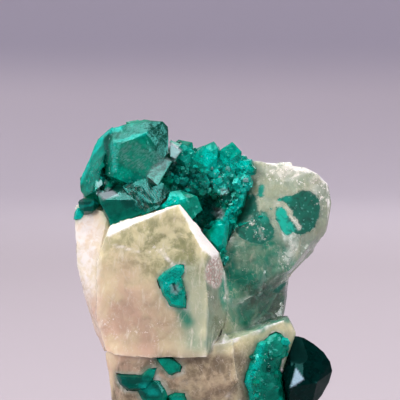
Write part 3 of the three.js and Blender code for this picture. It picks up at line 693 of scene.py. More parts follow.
def calcite_masks(points, rim, facing):
    """Where the calcite is clear, chalky, pink, olive, green and speckled, as soft regions, and where
    shade is painted and white stands for painted highlights and glints.
    """
    p = wandering(points, 1.2, 3.0, 3, (3, 5, 7))
    fine = points + 0.35 * (p - points)
    right = blob(p, (11, -3, 35), (12, 9, 13), 0.12)
    neck = blob(p, (8, -2, 24), (6.5, 8, 5), 0.25)
    ledge = blob(p, (10, -4, 13), (7, 9, 9), 0.3)
    beige = blob(p, (10, -2, 42.5), (7, 5, 5), 0.5)
    clear = unit(0.6 * right + 0.75 * neck + 0.4 * ledge - 0.2 * beige)
    clear += 0.25 * blob(p, (-6, -14, 28), (9, 5, 11), 0.4)
    rear = unit(facing[:, 1] * 3)
    clear += rear * unit(0.9 * layered_noise(points, 7, 2, 91) + 0.35)
    sage = 1.1 * right + neck + 0.35 * ledge + 0.8 * blob(p, (2.8, -10, 24), (1.6, 6, 8), 0.3)
    # The front crystal's side face turned to the right is painted darker and greener: painted shade.
    side = turned_to(facing, (0.85, -0.52, 0), 0.8, 0.1)
    side *= blob(points, (2, -12, 25), (3.2, 6, 9), 0.1)
    sage += side + 0.6 * beige + rear * np.clip(0.3 + layered_noise(points, 8, 2, 92), 0, 0.8)
    green = 0.15 * right + 1.8 * neck + 0.2 * ledge - 0.3 * beige
    green += 1.9 * blob(p, (8.2, -7, 27.6), (6.8, 6, 5.8), 0.35) + 0.3 * side
    cloud = stroke(p, (-1.6, -14.6, 30), (-1.4, -14.6, 19), (2.6, 3, 2), 0.8)
    sage += 0.65 * cloud
    green += 0.12 * cloud + 0.2 * stroke(p, (-4, -14.6, 25.1), (-1.6, -14.6, 19.5), (1.0, 3, 1.5), 0.8)
    green += 0.8 * stroke(p, (-4, -14.6, 25.4), (-2.6, -14.6, 22.6), (1.0, 3, 1.0), 0.8)
    green += 0.6 * blob(fine, (11, -6, 32), (1.6, 3, 2), 0.5)
    step = stroke(p, (4, -9, 20.6), (11.6, -6.6, 23), (1.8, 4, 1.6), 0.5)
    sage += 0.8 * step
    green += 0.3 * step
    olive = 1.1 * blob(p, (-6, -13, 33.5), (9, 6, 5), 0.6) + 0.8 * blob(p, (9, -8, 14), (6, 6, 7), 0.5)
    olive += 0.4 * beige + 0.5 * blob(p, (3, -10, 24), (2.2, 6, 8), 0.4)
    olive += rear * np.clip(0.2 + layered_noise(points, 5, 2, 93), 0, 0.8)
    # Painted shade on the lower part and on the side face turned to the right; at the back the same mask
    # adds random darker tone.
    shade = 2.0 * blob(p, (-3, -12, 11), (12, 6, 6.5), 0.25) + 0.8 * blob(p, (10, -10, 13), (6, 6, 6), 0.4)
    shade += 0.35 * blob(p, (-9, -14, 22.5), (7, 5, 4), 0.5) + 0.8 * side
    shade += 0.12 * blob(p, (-17, -7, 24), (3, 8, 8), 0.5)
    shade += rear * np.clip(0.05 + 0.6 * layered_noise(points, 6, 2, 94), 0, 0.5)
    pink = 1.1 * blob(p, (-13, -10, 20), (8, 12, 10), 0.7) + 0.5 * blob(p, (-2, -10, 13), (11, 8, 5), 0.5)
    pink += 0.7 * blob(p, (-17.6, -7, 35.5), (2.4, 8, 4), 0.4)
    chalk = blob(p, (-18.4, -7, 31), (2.2, 8, 5), 0.5) + 0.25 * blob(p, (-17, -7, 22), (1.6, 8, 7), 0.6)
    chalk += 0.8 * blob(p, (-17.6, -7, 36.2), (2.4, 8, 2.6), 0.5)
    chalk += 0.6 * blob(p, (12.8, -2, 45), (2.6, 4, 1.2), 0.4)
    chalk += 0.6 * stroke(fine, (13, -5, 31.6), (13.8, -4, 33), (0.7, 4, 0.7), 1.2)
    chalk += 0.35 * blob(p, (18, -2, 43), (1.6, 4, 1.6), 0.4)
    chalk += blob(fine, (10.6, -9.3, 19.8), (0.8, 1.6, 0.4), 0.3)
    chalk += blob(fine, (11.9, -8.5, 13.9), (0.4, 1.4, 0.8), 0.3)
    chalk += unit(rim * 5 - 0.12) * (0.4 + 0.5 * value_noise(points, 0.9, 21)) * (1 + rear)
    chalk += 0.8 * rear * np.clip(layered_noise(points, 4, 3, 96) - 0.1, 0, 0.6)
    for start, end, width in FRONT_VEILS:
        chalk += 0.8 * stroke(fine, start, end, (width, 3, width), 0.5)
    # Near white along the bright edges and on the two top bevels: partly frost, partly painted highlight.
    snow = np.zeros(len(points))
    for start, end, width in SPARKLING_EDGES:
        snow += stroke(fine, start, end, (width, width, width), 0.5)
    snow *= unit(0.55 + 1.3 * layered_noise(points, 1.0, 2, 95))
    front_top = blob(points, (-6, -13, 37), (12, 5, 7), 0.05)
    bevels = [front_top * turned_to(facing, way, 0.88, 0.06) for way in BEVELS_WITH_FROST_AND_PAINTED_HIGHLIGHT]
    snow += 1.3 * sum(bevels)
    speckle = blob(points, (1.6, -12.5, 30), (1.9, 3.5, 2.4), 0.15)
    # The sparkle mask gathers the white flecks, painted glints, on edges, bevels and spots.
    sparkle = 0.7 * unit(snow) + 0.6 * speckle
    sparkle += stroke(fine, (12.6, -5, 31), (14.2, -4, 33.6), (1, 4, 1), 1)
    sparkle += blob(p, (13, -2, 44.6), (3, 4, 1.6), 0.5) + blob(p, (18.4, -2, 42.4), (1.6, 4, 3), 0.5)
    for spot in SPARKLE_SPOTS:
        sparkle += 0.8 * blob(p, spot, (1.0, 3, 0.7), 0.8)
    names = "clear sage green olive shade pink chalk snow speckle sparkle".split()
    chalk += 0.8 * speckle
    speckle += 0.12 * bevels[1]
    return dict(zip(names, (clear, sage, green, olive, shade, pink, chalk, snow, speckle, sparkle)))


# %% Calcite relief and finished calcite
CALCITE_NET_MM = 0.34
CALCITE_CREASE_DEGREES = 30
FLAT_BASE_MM = 0.05


def calcite_relief(points, rim, seated):
    """How far the surface moves out: broad swells, cleavage terraces, fine grain, and chips
    bitten out of the edges, though not where a crystal is seated."""
    swell = 0.16 * layered_noise(points, 6.0, 2, 1)
    leaning = stretched(points, (0.4, 0.2, 1.0), 2.5)
    steps = terraces(0.45 * layered_noise(leaning, 4.0, 3, 31), 0.13)
    steps *= 1 + unit((points[:, 1] - 2) / 3)
    grain = 0.035 * layered_noise(points, 0.9, 2, 41)
    chips = -0.5 * rim * unit(layered_noise(points, 1.6, 2, 51) + 0.35)
    return swell + steps + grain + chips * (1 - seated)


calcite_mesh = evenly_netted(calcite_solid, "calcite_matrix_stone", CALCITE_NET_MM)
calcite_points = vertex_array(calcite_mesh)
calcite_edges = edge_array(calcite_mesh)
calcite_rim = spread(rim_array(calcite_mesh), calcite_edges, 2)
outward = normal_array(calcite_mesh)
stain = stain_mask(calcite_points, calcite_edges)
moved = calcite_points + outward * calcite_relief(calcite_points, calcite_rim, stain)[:, None]
moved[:, 2] = np.where(calcite_points[:, 2] < FLAT_BASE_MM, 0.0, moved[:, 2].clip(0))
moved = smoothed_lids(calcite_points, moved, calcite_edges)
set_vertices(calcite_mesh, moved)
shift = np.linalg.norm(moved - calcite_points, axis=1)
print("calcite relief in mm: middle, 99 of 100, most", np.percentile(shift, [50, 99, 100]).round(2))
calcite_paint = calcite_masks(calcite_points, calcite_rim, outward)
calcite_paint |= sunk_masks(calcite_points, calcite_edges, outward)
calcite_paint["chalk"] += 0.35 * calcite_paint.pop("gap")
calcite_paint["stain"] = stain
for mask_name, mask_values in calcite_paint.items():
    add_mask(calcite_mesh, mask_name, mask_values)
finish_piece(
    "calcite_matrix_stone", calcite_mesh, ["calcite_matrix"], calcite_stone, CALCITE_CREASE_DEGREES
)

# %% [markdown]
# ## Dioptase
# A dioptase crystal is green glass with a rough skin. The base colour is what its skin scatters,
# and the absorption darkens light with every millimetre that it travels inside; painted glow on thin
# edges and painted shade on thick middles add to it, so that thin edges glow and thick middles go
# nearly black.

# %% Dioptase material
DIOPTASE_TINT = (0.0, 0.84, 0.75)
TEAL_TINT = (0.15, 0.85, 0.78)
RULING_GREY = (0.1, 0.135, 0.12)
# Colour of painted glints.
PAINTED_GLINT_TEAL = (0.5, 0.88, 0.83)


def dioptase_material(name, colours, transmission, density, relief_mm, gloss):
    """Green crystal. Its colours are the skin's, then deep, a painted shade where it is thick and dark,
    painted glow where it is thin, frosted where it is rough, and silver, a painted reflection of the
    lamps, on some facets."""
    skin, deep_tone_and_painted_shade, glow, frosted, painted_lamp_reflection = colours
    half_skin = tuple(0.5 * c for c in skin)
    r = Recipe(name)
    mottle = r.noise(0.9, 5.0, distortion=0.5)
    grain = r.noise(0.22, 3.0)
    lines = r.streaks(0.2, 6.0, (0.0, 0.9, 0.0), 4.0)
    rules = r.streaks(0.17, 12.0, (0.0, -0.6, 0.0), 3.0)
    scratches = r.weighted((lines, 0.75), (mottle, 0.25))
    frost = r.patchy("frost", scratches, 0.43, 0.58, 0.1)
    # This mask sets dark grain specks and bright teal flecks; the flecks are painted glints.
    specks = r.times(r.range(r.mask("specks_and_painted_glints"), 0.0, 0.6, 0.3, 1.0), r.range(grain, 0.46, 0.64, 0.0, 0.6))
    painted_glints = r.times(r.range(r.flecks(0.22, 0.13), 0.82, 0.9), r.mask("specks_and_painted_glints"))
    colour = r.mix(r.range(mottle, 0.35, 0.7), skin, half_skin)
    for amount, paint in [
        (r.mask("deep_tone_and_painted_shade"), deep_tone_and_painted_shade),
        (r.patchy("glow", mottle, 0.3, 0.6, 1.0, 0.6), glow),
        (frost, frosted),
        (r.times(specks, r.without(r.mask("frost"), 0.8)), deep_tone_and_painted_shade),
        (r.patchy("painted_lamp_reflection", rules, 0.35, 0.5, 0.8), painted_lamp_reflection),
        (r.patchy("ruled", rules, 0.5, 0.58), RULING_GREY),
        (painted_glints, PAINTED_GLINT_TEAL),
    ]:
        colour = r.mix(amount, colour, paint)
    rough = r.plus(r.range(r.noise(2.2, 3.0), 0.35, 0.65, 0.05, 0.16), r.times(frost, 0.3))
    rough = r.larger(rough, r.times(r.mask("matt"), 0.8))
    relief = r.weighted((mottle, 0.5), (grain, 0.3), (lines, r.times(r.mask("frost"), 0.6)))
    r.absorption(DIOPTASE_TINT, density)
    return r.surface(
        Base_Color=colour,
        Roughness=rough,
        IOR=1.66,
        Transmission_Weight=transmission,
        Specular_IOR_Level=gloss,
        Specular_Tint=TEAL_TINT,
        Normal=r.bump(relief, relief_mm, 0.6),
    )


# %% The green and the nearly black dioptase
# The five colours: skin, deep tone with painted shade, painted glow, frost, painted lamp reflection.
EMERALD_COLOURS = [
    (0.0, 0.33, 0.205), (0.0, 0.055, 0.035), (0.0, 0.78, 0.64), (0.07, 0.22, 0.175), (0.45, 0.46, 0.51),
]
NIGHT_COLOURS = [
    (0.0, 0.012, 0.01), (0.0, 0.005, 0.005), (0.0, 0.05, 0.04), (0.3, 0.4, 0.5), (0.3, 0.38, 0.48),
]
emerald = dioptase_material(
    "emerald_dioptase", EMERALD_COLOURS, transmission=0.4, density=800, relief_mm=0.12, gloss=0.22
)
night_green = dioptase_material(
    "dark_dioptase", NIGHT_COLOURS, transmission=0.1, density=2500, relief_mm=0.01, gloss=0.04
)
print("materials", emerald.name, "and", night_green.name, len(emerald.node_tree.nodes), "nodes each")

# %% [markdown]
# ## Seats
# Grown crystals have no gap round them, but the solids stand 0.3 mm apart so that each is a part of
# its own. A piece that sits on the calcite therefore swells into its seat, and one that the stone
# covers sinks under it, both by its distance from the calcite's surface.

# %% Dioptase relief and seats
SEAT_FILL_MM = 0.42
COVER_MM = 0.8


def dioptase_relief(points):
    """Growth hillocks and fine striations on crystal faces."""
    hillocks = 0.09 * layered_noise(points, 1.3, 3, 61)
    lines = 0.05 * layered_noise(stretched(points, (0.7, 0.1, -0.7), 6.0), 0.5, 2, 71)
    return hillocks + lines


def depth_in_calcite(points):
    """Signed distance to the calcite's surface, positive inside it, and the way out of it."""
    depths, ways = np.empty(len(points)), np.empty((len(points), 3))
    for i, point in enumerate(points * MM):
        nearest, way, _, distance = calcite_tree.find_nearest(point)
        inside = way.dot(nearest - Vector(point)) > 0
        depths[i] = distance / MM if inside else -distance / MM
        ways[i] = way
    return depths, ways


# %% [markdown]
# ## Small crystals
# Dioptase grows as short six-sided prisms, closed at each end by three rhombs that meet in a point.
# One such shape, scaled and turned hundreds of times with whole arrays, makes the druse sparkle.

# %% Small crystal shapes
LOW_CORNER, HIGH_CORNER, TIP = 0.35, 0.65, 0.95


def prism_template():
    """Corners and faces of one crystal of radius 1. Ring corner i stands at 60 i degrees. The cap
    planes z = 0.95 - 0.6 r cos(angle from the plane's middle) put the ring's corners alternately
    at 0.35 and 0.65, and the lower cap is the upper one turned over."""
    angle = np.arange(6) * math.pi / 3
    height = np.where(np.arange(6) % 2 == 0, LOW_CORNER, HIGH_CORNER)
    upper = np.stack([np.cos(angle), np.sin(angle), height], axis=1)
    lower = np.stack([np.cos(angle), np.sin(angle), -np.roll(height, 1)], axis=1)
    corners = np.concatenate([upper, lower, [[0, 0, TIP], [0, 0, -TIP]]])
    faces = [[6 + i, 6 + (i + 1) % 6, (i + 1) % 6, i] for i in range(6)]
    faces += [[12, (i - 1) % 6, i, (i + 1) % 6] for i in (0, 2, 4)]
    faces += [[13, 6 + (i + 1) % 6, 6 + i, 6 + (i - 1) % 6] for i in (1, 3, 5)]
    return corners, np.array(faces)


def many_crystals(centres, axes, sizes, seed):
    """The corners, faces and owner numbers of a crystal at each centre, along each axis."""
    rng = np.random.default_rng(seed)
    corners, faces = prism_template()
    count = len(centres)
    up = axes / np.linalg.norm(axes, axis=1)[:, None]
    side = np.cross(up, rng.normal(size=(count, 3)))
    side /= np.linalg.norm(side, axis=1)[:, None]
    turned = np.stack([side, np.cross(up, side), up], axis=1)
    stretch = np.stack([np.ones(count), rng.uniform(0.7, 1, count), rng.uniform(0.8, 1.5, count)], axis=1)
    local = corners[None] * stretch[:, None] * sizes[:, None, None]
    points = np.einsum("nvk,nkx->nvx", local, turned) + centres[:, None]
    numbers = faces[None] + len(corners) * np.arange(count)[:, None, None]
    return points.reshape(-1, 3), numbers.reshape(-1, 4), np.repeat(np.arange(count), len(corners))


def on_surface(mesh, count, seed, keep):
    """Random places on the faces for which keep is true, picked by area, with their normals."""
    rng = np.random.default_rng(seed)
    mesh.calc_loop_triangles()
    triangles = read_array(mesh.loop_triangles, "vertices", 3, np.int64)
    a, b, c = vertex_array(mesh)[triangles].transpose(1, 0, 2)
    normal = np.cross(b - a, c - a)
    area = np.linalg.norm(normal, axis=1)
    weight = area * keep((a + b + c) / 3, normal / np.maximum(area, 1e-12)[:, None])
    pick = rng.choice(len(area), count, p=weight / weight.sum())
    u, v = rng.random((2, count, 1))
    u, v = np.where(u + v > 1, 1 - u, u), np.where(u + v > 1, 1 - v, v)
    places = a[pick] + u * (b[pick] - a[pick]) + v * (c[pick] - a[pick])
    return places, normal[pick] / area[pick, None]


def in_stroke(count, start, end, radii, rng):
    """Random places in a stroke, evenly along it and inside its radii."""
    along = rng.random((count, 1))
    offset = rng.normal(size=(count, 3))
    offset *= (rng.random((count, 1)) ** (1 / 3)) / np.linalg.norm(offset, axis=1)[:, None]
    return np.array(start) * (1 - along) + np.array(end) * along + offset * np.array(radii)


# %% Where small crystals grow
TOP_CRYSTALS_MM = 45.6
BARE_CRYSTALS = [
    ((2.2, -7.4, 35), (2.6, 3, 3.4)),
    ((-4.8, -4, 47.6), (1.6, 2, 1.9)),
    ((6.4, -4.4, 38.8), (2.2, 4, 2.8)),
]


def on_druse(places, normal):
    """The druse grows small crystals on its front and its cavity, fewer on the big top ones, and
    none on three smooth crystals."""
    front = (places[:, 1] < 3) & (normal @ np.array([0, -0.9, 0.45]) > -0.3)
    bare = sum(blob(places, centre, radii, 0.1) for centre, radii in BARE_CRYSTALS)
    return front * np.where(places[:, 2] > TOP_CRYSTALS_MM, 0.06, 1.0) * (bare < 0.1)


def on_front(places, normal):
    """The ledge's cluster grows them wherever it doesn't face away."""
    return (normal[:, 1] < 0.2) * 1.0


def on_all_sides(places, normal):
    return np.ones(len(places))


SCATTER = {
    "dioptase_druse": (800, 0.28, 0.75, on_druse),
    "dioptase_ledge_crystals": (26, 0.4, 0.8, on_front),
    "dioptase_back_crystals": (40, 0.3, 0.7, on_all_sides),
}
CLUSTERS = {
    "dioptase_large_crystals": [
        (26, 0.5, 1.0, (-16.4, -6.4, 44.6), (-14.2, -6.8, 42.8), (1.3, 1, 1.2)),
        (16, 0.4, 0.8, (-17.6, -7, 42.2), (-14.8, -8.6, 42), (0.7, 0.8, 0.7)),
        (14, 0.3, 0.6, (-12.6, -9.6, 43.4), (-9.6, -9.2, 43.2), (0.8, 0.6, 0.5)),
        (14, 0.4, 0.8, (-6.6, -7, 45.6), (-5.4, -6, 43), (0.8, 1, 0.8)),
    ],
    "dioptase_druse": [
        (60, 0.5, 1.1, (-1.4, 1, 41), (3.4, 1, 39.6), (1.4, 1, 1.6)),
        (40, 0.5, 1.1, (-0.4, 0, 37.6), (2, -0.6, 35.4), (1.4, 1, 1.6)),
        (16, 0.3, 0.6, (3, -8.2, 32.6), (3.1, -8.2, 30.9), (0.4, 0.6, 0.4)),
        (36, 0.3, 0.6, (6.5, -2.6, 45.6), (5.7, -4, 42), (0.4, 1, 1)),
        (20, 0.25, 0.45, (5.2, -5, 41.2), (2.8, -6.6, 37), (0.3, 0.8, 0.3)),
    ],
}
print("small crystals are tried at", sum(row[0] for row in SCATTER.values()), "places and in clusters")

# %% Growing them
OLD_TONE = 0.5
ROOT_CLEARANCE_MM = 0.2
PLACES_SEED, SHAPES_SEED = 3, 9


def grow_small_crystals(mesh, node_name):
    """Adds the small crystals of a node to its mesh and returns a random tone in 0..1 for every
    corner: 0.5 on the old ones and one value for all corners of a new crystal."""
    if node_name not in SCATTER and node_name not in CLUSTERS:
        return np.full(len(mesh.vertices), OLD_TONE)
    rng = np.random.default_rng(len(node_name))
    centres, axes, sizes = [], [], []
    if node_name in SCATTER:
        count, small, large, keep = SCATTER[node_name]
        places, normals = on_surface(mesh, count, PLACES_SEED, keep)
        size = small + (large - small) * rng.random(count) ** 2
        centres.append(places + normals * size[:, None] * rng.uniform(-0.4, 0.3, (count, 1)))
        axes.append(normals + 0.7 * rng.normal(size=(count, 3)))
        sizes.append(size)
    for count, small, large, start, end, radii in CLUSTERS.get(node_name, []):
        centres.append(in_stroke(count, start, end, radii, rng))
        axes.append(np.array([0, -0.8, 0.6]) + 0.6 * rng.normal(size=(count, 3)))
        sizes.append(rng.uniform(small, large, count))
    centres, axes, sizes = np.concatenate(centres), np.concatenate(axes), np.concatenate(sizes)
    free = depth_in_calcite(centres)[0] < -ROOT_CLEARANCE_MM
    points, faces, owner = many_crystals(centres[free], axes[free], sizes[free], SHAPES_SEED)
    grown = bpy.data.meshes.new("small_crystals")
    grown.from_pydata((points * MM).tolist(), [], faces.tolist())
    tones = np.concatenate([np.full(len(mesh.vertices), OLD_TONE), rng.random(free.sum())[owner]])
    work = bmesh.new()
    work.from_mesh(mesh)
    work.from_mesh(grown)
    work.to_mesh(mesh)
    work.free()
    print(node_name, free.sum(), "small crystals")
    return tones


# %% [markdown]
# ## Painting light into the crystals
# Thin edges get painted glow, thick middles and hollows painted shade, and old faces are frosted.
# Each row below is one soft stroke: its mask, how much, from where, to where, and its radii, in mm.
# Their borders wander, and the material mixes its colours by their sums. A few facets get a painted
# reflection of a lamp: those are flat outlines seen from the front, as X and Z.

# %% Rows of paint
# Rows of the dark mask are painted shade on thick middles and hollows; glow rows are painted glow.
PAINT = {
    "dioptase_large_crystals": [
        ("glow", 0.85, (-14.6, -3, 51.9), (-17.4, -4.4, 48.4), (0.7, 2.5, 0.6)),
        ("glow", 0.85, (-17.6, -4.4, 48.4), (-19.6, -5, 43), (0.6, 2.5, 0.7)),
        ("glow", 0.25, (-16.6, -5, 48), (-17, -6, 44), (1.4, 3, 3)),
        ("glow", 1.0, (-14.3, -5.6, 51.6), (-13.4, -5.8, 51.7), (0.9, 1.5, 0.7)),
        ("glow", 0.7, (-14, -8.1, 49.7), (-13.8, -9.8, 45.4), (0.3, 1, 0.4)),
        ("glow", 0.7, (-13.4, -8.4, 49.8), (-8.9, -8.2, 51), (0.3, 2, 0.22)),
        ("glow", 0.08, (-13, -9.6, 44.4), (-10.6, -9.8, 44), (1.8, 2, 1)),
        ("deep_tone_and_painted_shade", 0.8, (-15, -6, 49), (-15, -7, 45.4), (0.7, 2, 2)),
        ("deep_tone_and_painted_shade", 0.8, (-7.2, -6, 51.7), (-6.2, -6, 47.6), (2, 3, 1.8)),
        ("deep_tone_and_painted_shade", 0.68, (-14.4, -10.6, 39.4), (-11.2, -11, 40), (2.6, 3, 2)),
        ("deep_tone_and_painted_shade", 0.95, (-10.6, -9.6, 42), (-6.8, -9, 41), (2.9, 3, 2.2)),
        ("deep_tone_and_painted_shade", 0.5, (-13, -7, 51), (-8, -7, 51.6), (2, 3, 1)),
        ("deep_tone_and_painted_shade", 0.5, (-16, -7, 43.4), (-16, -7, 42.4), (1, 3, 1)),
        ("deep_tone_and_painted_shade", 0.25, (-11, -8.4, 48), (-9, -8.4, 46), (3.5, 4, 2.5)),
        ("deep_tone_and_painted_shade", 0.9, (-13.8, -9, 42.3), (-10, -9, 42.3), (1.4, 3, 0.7)),
        ("deep_tone_and_painted_shade", 0.6, (-5.6, -6, 50), (-5.6, -6, 46), (1.6, 4, 2)),
        ("frost", 0.9, (-11, -8.4, 47.8), (-8, -8.4, 46.4), (2.2, 3, 1.8)),
        ("frost", 0.9, (-13.2, -6.6, 50.6), (-9, -6.2, 52.1), (0.9, 2, 0.8)),
        ("frost", 0.8, (-14, -8.1, 49.7), (-13.8, -9.8, 45.4), (0.4, 1, 0.5)),
        ("frost", 0.4, (-16.4, -7.4, 46.6), (-16.9, -8.2, 42.8), (0.8, 2, 1)),
        ("frost", 0.3, (-7, -6, 51), (-6.4, -6, 48), (1.6, 3, 1.6)),
        ("ruled", 1.0, (-7.8, -9.4, 44.2), (-6, -8, 46.4), (1.4, 3, 1.2)),
        ("ruled", 0.9, (-11, -10, 42.2), (-7, -9, 41.4), (1.5, 3, 1.3)),
        ("ruled", 0.6, (-8.6, -9.6, 40), (-7.6, -9.6, 39.6), (1.5, 3, 0.8)),
        ("specks_and_painted_glints", 0.9, (-14.3, -8, 51), (-14, -9, 44.6), (1, 3, 1)),
        ("specks_and_painted_glints", 0.9, (-17, -7, 45), (-16.4, -7, 42), (1.4, 3, 1)),
        ("specks_and_painted_glints", 0.6, (-12, -9, 42), (-6, -9, 41), (2, 3, 2)),
        ("specks_and_painted_glints", 0.25, (-10, -8, 50), (-9, -8, 46), (6, 5, 3)),
    ],
    "dioptase_left_bud": [
        ("deep_tone_and_painted_shade", 0.9, (-18, -8, 40), (-17, -8, 40), (4, 4, 4)),
        ("glow", 0.4, (-19, -8, 39.8), (-17, -8, 40.2), (2, 4, 0.3)),
    ],
    "dioptase_left_sliver": [("glow", 1.0, (-19, -6, 38), (-19, -6, 39), (3, 3, 3))],
    "dioptase_apex_crystal": [
        ("glow", 0.9, (-6.6, -8.6, 40.6), (-4.6, -8.8, 40.9), (1.5, 2, 0.9)),
        ("glow", 0.08, (-5, -8, 40), (-1, -8, 40), (4, 4, 4)),
        ("specks_and_painted_glints", 1.0, (-6.6, -8.6, 40.6), (-4.8, -8.8, 40.6), (1.2, 2, 0.6)),
    ],
    "dioptase_druse": [
        ("glow", 0.35, (-4.6, -2, 47.4), (5, -2, 46.8), (1.5, 4, 2)),
        ("glow", 0.6, (1, -3, 46), (6.6, -3, 43.4), (1.4, 4, 2.4)),
        ("glow", 0.3, (-4, -2, 43.4), (0, -2, 43.4), (2, 4, 2)),
        ("glow", 0.35, (-1.6, 0, 40.6), (2, 0, 36), (2.6, 3.4, 2.6)),
        ("glow", 0.8, (6.4, -2, 46.4), (6, -3, 42.6), (0.9, 3, 1)),
        ("glow", 0.7, (6, -5, 41.4), (3.2, -6.6, 37.2), (0.8, 2, 0.6)),
        ("glow", 0.6, (2.6, -7, 37), (2, -7.4, 33.6), (1.2, 2, 1)),
        ("glow", 0.7, (1.6, -3, 43.4), (3, -3, 42.2), (1.1, 3, 0.9)),
        ("deep_tone_and_painted_shade", 0.25, (-4.6, -3, 43.4), (0, -3, 43), (1.6, 4, 1.6)),
        ("deep_tone_and_painted_shade", 0.2, (-1.6, 0, 40.6), (2, 0, 36), (2.6, 3.4, 2.6)),
        ("deep_tone_and_painted_shade", 0.3, (2.6, -2, 40.4), (4.2, -3, 39), (1.4, 3, 1.4)),
        ("frost", 0.25, (-1, -3, 43.6), (5.4, -3, 42.6), (4, 4, 2.4)),
        ("specks_and_painted_glints", 0.9, (-4, -2, 44), (7, -3, 43), (5, 6, 4)),
        ("specks_and_painted_glints", 0.8, (2, -2, 38), (4, -2, 40), (4, 4, 3)),
    ],
    "dioptase_front_face_crystal": [
        ("glow", 0.55, (-6, -15, 29), (-4, -15, 30.6), (1.4, 3, 1.4)),
        ("glow", 0.3, (-5, -15, 28), (-4, -15, 25), (1.6, 3, 1)),
        ("specks_and_painted_glints", 0.6, (-5, -15, 30), (-4.4, -15, 28), (2, 3, 2)),
    ],
    "dioptase_ledge_crystals": [
        ("glow", 0.9, (9, -10, 18.4), (8.1, -10.8, 15.6), (0.6, 2, 0.8)),
        ("glow", 0.8, (7.6, -11, 15.4), (6.7, -11.2, 12.6), (0.5, 2, 0.6)),
        ("glow", 0.4, (6.6, -11, 12), (7, -11, 9.4), (0.9, 2, 0.9)),
        ("deep_tone_and_painted_shade", 0.45, (10.4, -10, 15), (10.6, -10.4, 11), (1.6, 3, 1.6)),
        ("specks_and_painted_glints", 0.7, (9, -10, 17), (7, -11, 9), (2, 3, 2)),
    ],
    "dioptase_lower_blade": [
        ("glow", 0.4, (-9.4, -13, 12.4), (-7.4, -13, 11.6), (0.7, 2, 0.6)),
        ("deep_tone_and_painted_shade", 0.9, (-13, -12.6, 13.4), (-8, -13, 12), (2, 3, 1.6)),
    ],
    "dioptase_foot_crystal": [("glow", 0.4, (-4, -13, 10), (-4, -13, 10), (0.9, 2, 0.9))],
}
# Outlines of facets painted silver as if they mirrored a lamp: painted reflection.
PAINTED_REFLECTION_PATCHES = {
    "dioptase_large_crystals": [
        (0.75, [(-16.5, 41.9), (-14.1, 42.3), (-12.9, 41.6), (-15.4, 41.0)]),
        (0.3, [(-8.8, 44.5), (-8.0, 45.9), (-6.5, 46.9), (-5.2, 46.9), (-7.1, 43.2), (-8.3, 43.5)]),
        (0.6, [(-16.6, 43.4), (-16.2, 44.1), (-15.4, 43.5), (-16.2, 42.4)]),
    ],
    "dioptase_druse": [
        (1.0, [(-5.6, 49.0), (-5.0, 49.3), (-3.4, 48.2), (-4.8, 46.4), (-5.7, 47.9)]),
        (0.9, [(-5.1, 46.6), (-4.3, 46.3), (-4.6, 45.7)]),
        (0.7, [(1.6, 39.0), (3.0, 39.0), (2.8, 37.7), (1.7, 37.6)]),
        (0.6, [(2.6, 42.3), (3.9, 42.1), (3.6, 41.2), (2.6, 41.3)]),
    ],
    "dioptase_front_face_crystal": [(0.5, [(-5.1, 28.4), (-3.9, 28.2), (-4.0, 26.8), (-5.0, 27.0)])],
    "dioptase_dark_crystal": [(0.9, [(14.2, 14.8), (15.4, 13.2), (13.2, 12.0)])],
}

# %% Masks from the paint
PATCH_BORDER_MM = 0.2


def in_patch(points, corners):
    """1 where a point seen from the front is inside a convex outline given clockwise as X and Z."""
    inside = np.ones(len(points))
    outline = np.array(corners)
    for (x0, z0), (x1, z1) in zip(outline, np.roll(outline, -1, axis=0)):
        run, rise = x1 - x0, z1 - z0
        away = ((points[:, 0] - x0) * rise - (points[:, 2] - z0) * run) / math.hypot(run, rise)
        inside *= unit(0.5 + away / PATCH_BORDER_MM)
    return inside


def paint_dioptase(mesh, node_name, points, facing, rim, tones):
    """Stores the masks: the strokes of the node, painted glow on thin edges, and the small crystals'
    tones. Patches of silver, a painted lamp reflection, stay on faces that are turned to the front.
    Upward faces are matt, and so is the upper part of the dark crystal."""
    masks = {}
    for number, mask_name in enumerate(("glow", "deep_tone_and_painted_shade", "frost", "ruled", "specks_and_painted_glints")):
        rows = [row[1:] for row in PAINT.get(node_name, []) if row[0] == mask_name]
        shaken = wandering(points, 0.5, 1.2, 2, [5 + 20 * number + axis for axis in (1, 2, 3)])
        masks[mask_name] = strokes(shaken, rows, 0.35)
    masks["painted_lamp_reflection"] = np.zeros(len(points))
    for amount, corners in PAINTED_REFLECTION_PATCHES.get(node_name, []):
        masks["painted_lamp_reflection"] += amount * in_patch(points, corners) * (facing[:, 1] < 0.1)
    # Thin edges get painted glow, except on the dark crystal.
    if node_name == "dioptase_dark_crystal":
        masks["glow"] *= 0
    else:
        masks["glow"] += unit(rim * 3) * 0.18 * (1 + value_noise(points, 1.5, 81))
    # By random tone, some small crystals get painted glow, some a deeper tone and a few painted glints.
    masks["glow"] += unit(tones - 0.6) * 2.0 * (1 - np.clip(masks["deep_tone_and_painted_shade"], 0, 0.8))
    masks["deep_tone_and_painted_shade"] += unit(0.38 - tones) * 2.3
    masks["painted_lamp_reflection"] += unit(tones - 0.94) * 14
    masks["matt"] = unit(facing[:, 2] * 4 - 3)
    masks["matt"] += stroke(points, (14.2, -9, 18.6), (14.6, -9, 16.4), (1.5, 4, 1), 0.3)
    for mask_name, values in masks.items():
        add_mask(mesh, mask_name, values)


# %% Dress the dioptase
DIOPTASE_NET_MM = 0.25
DIOPTASE_CREASE_DEGREES = 22
SEAT_REACH_MM = 1.4


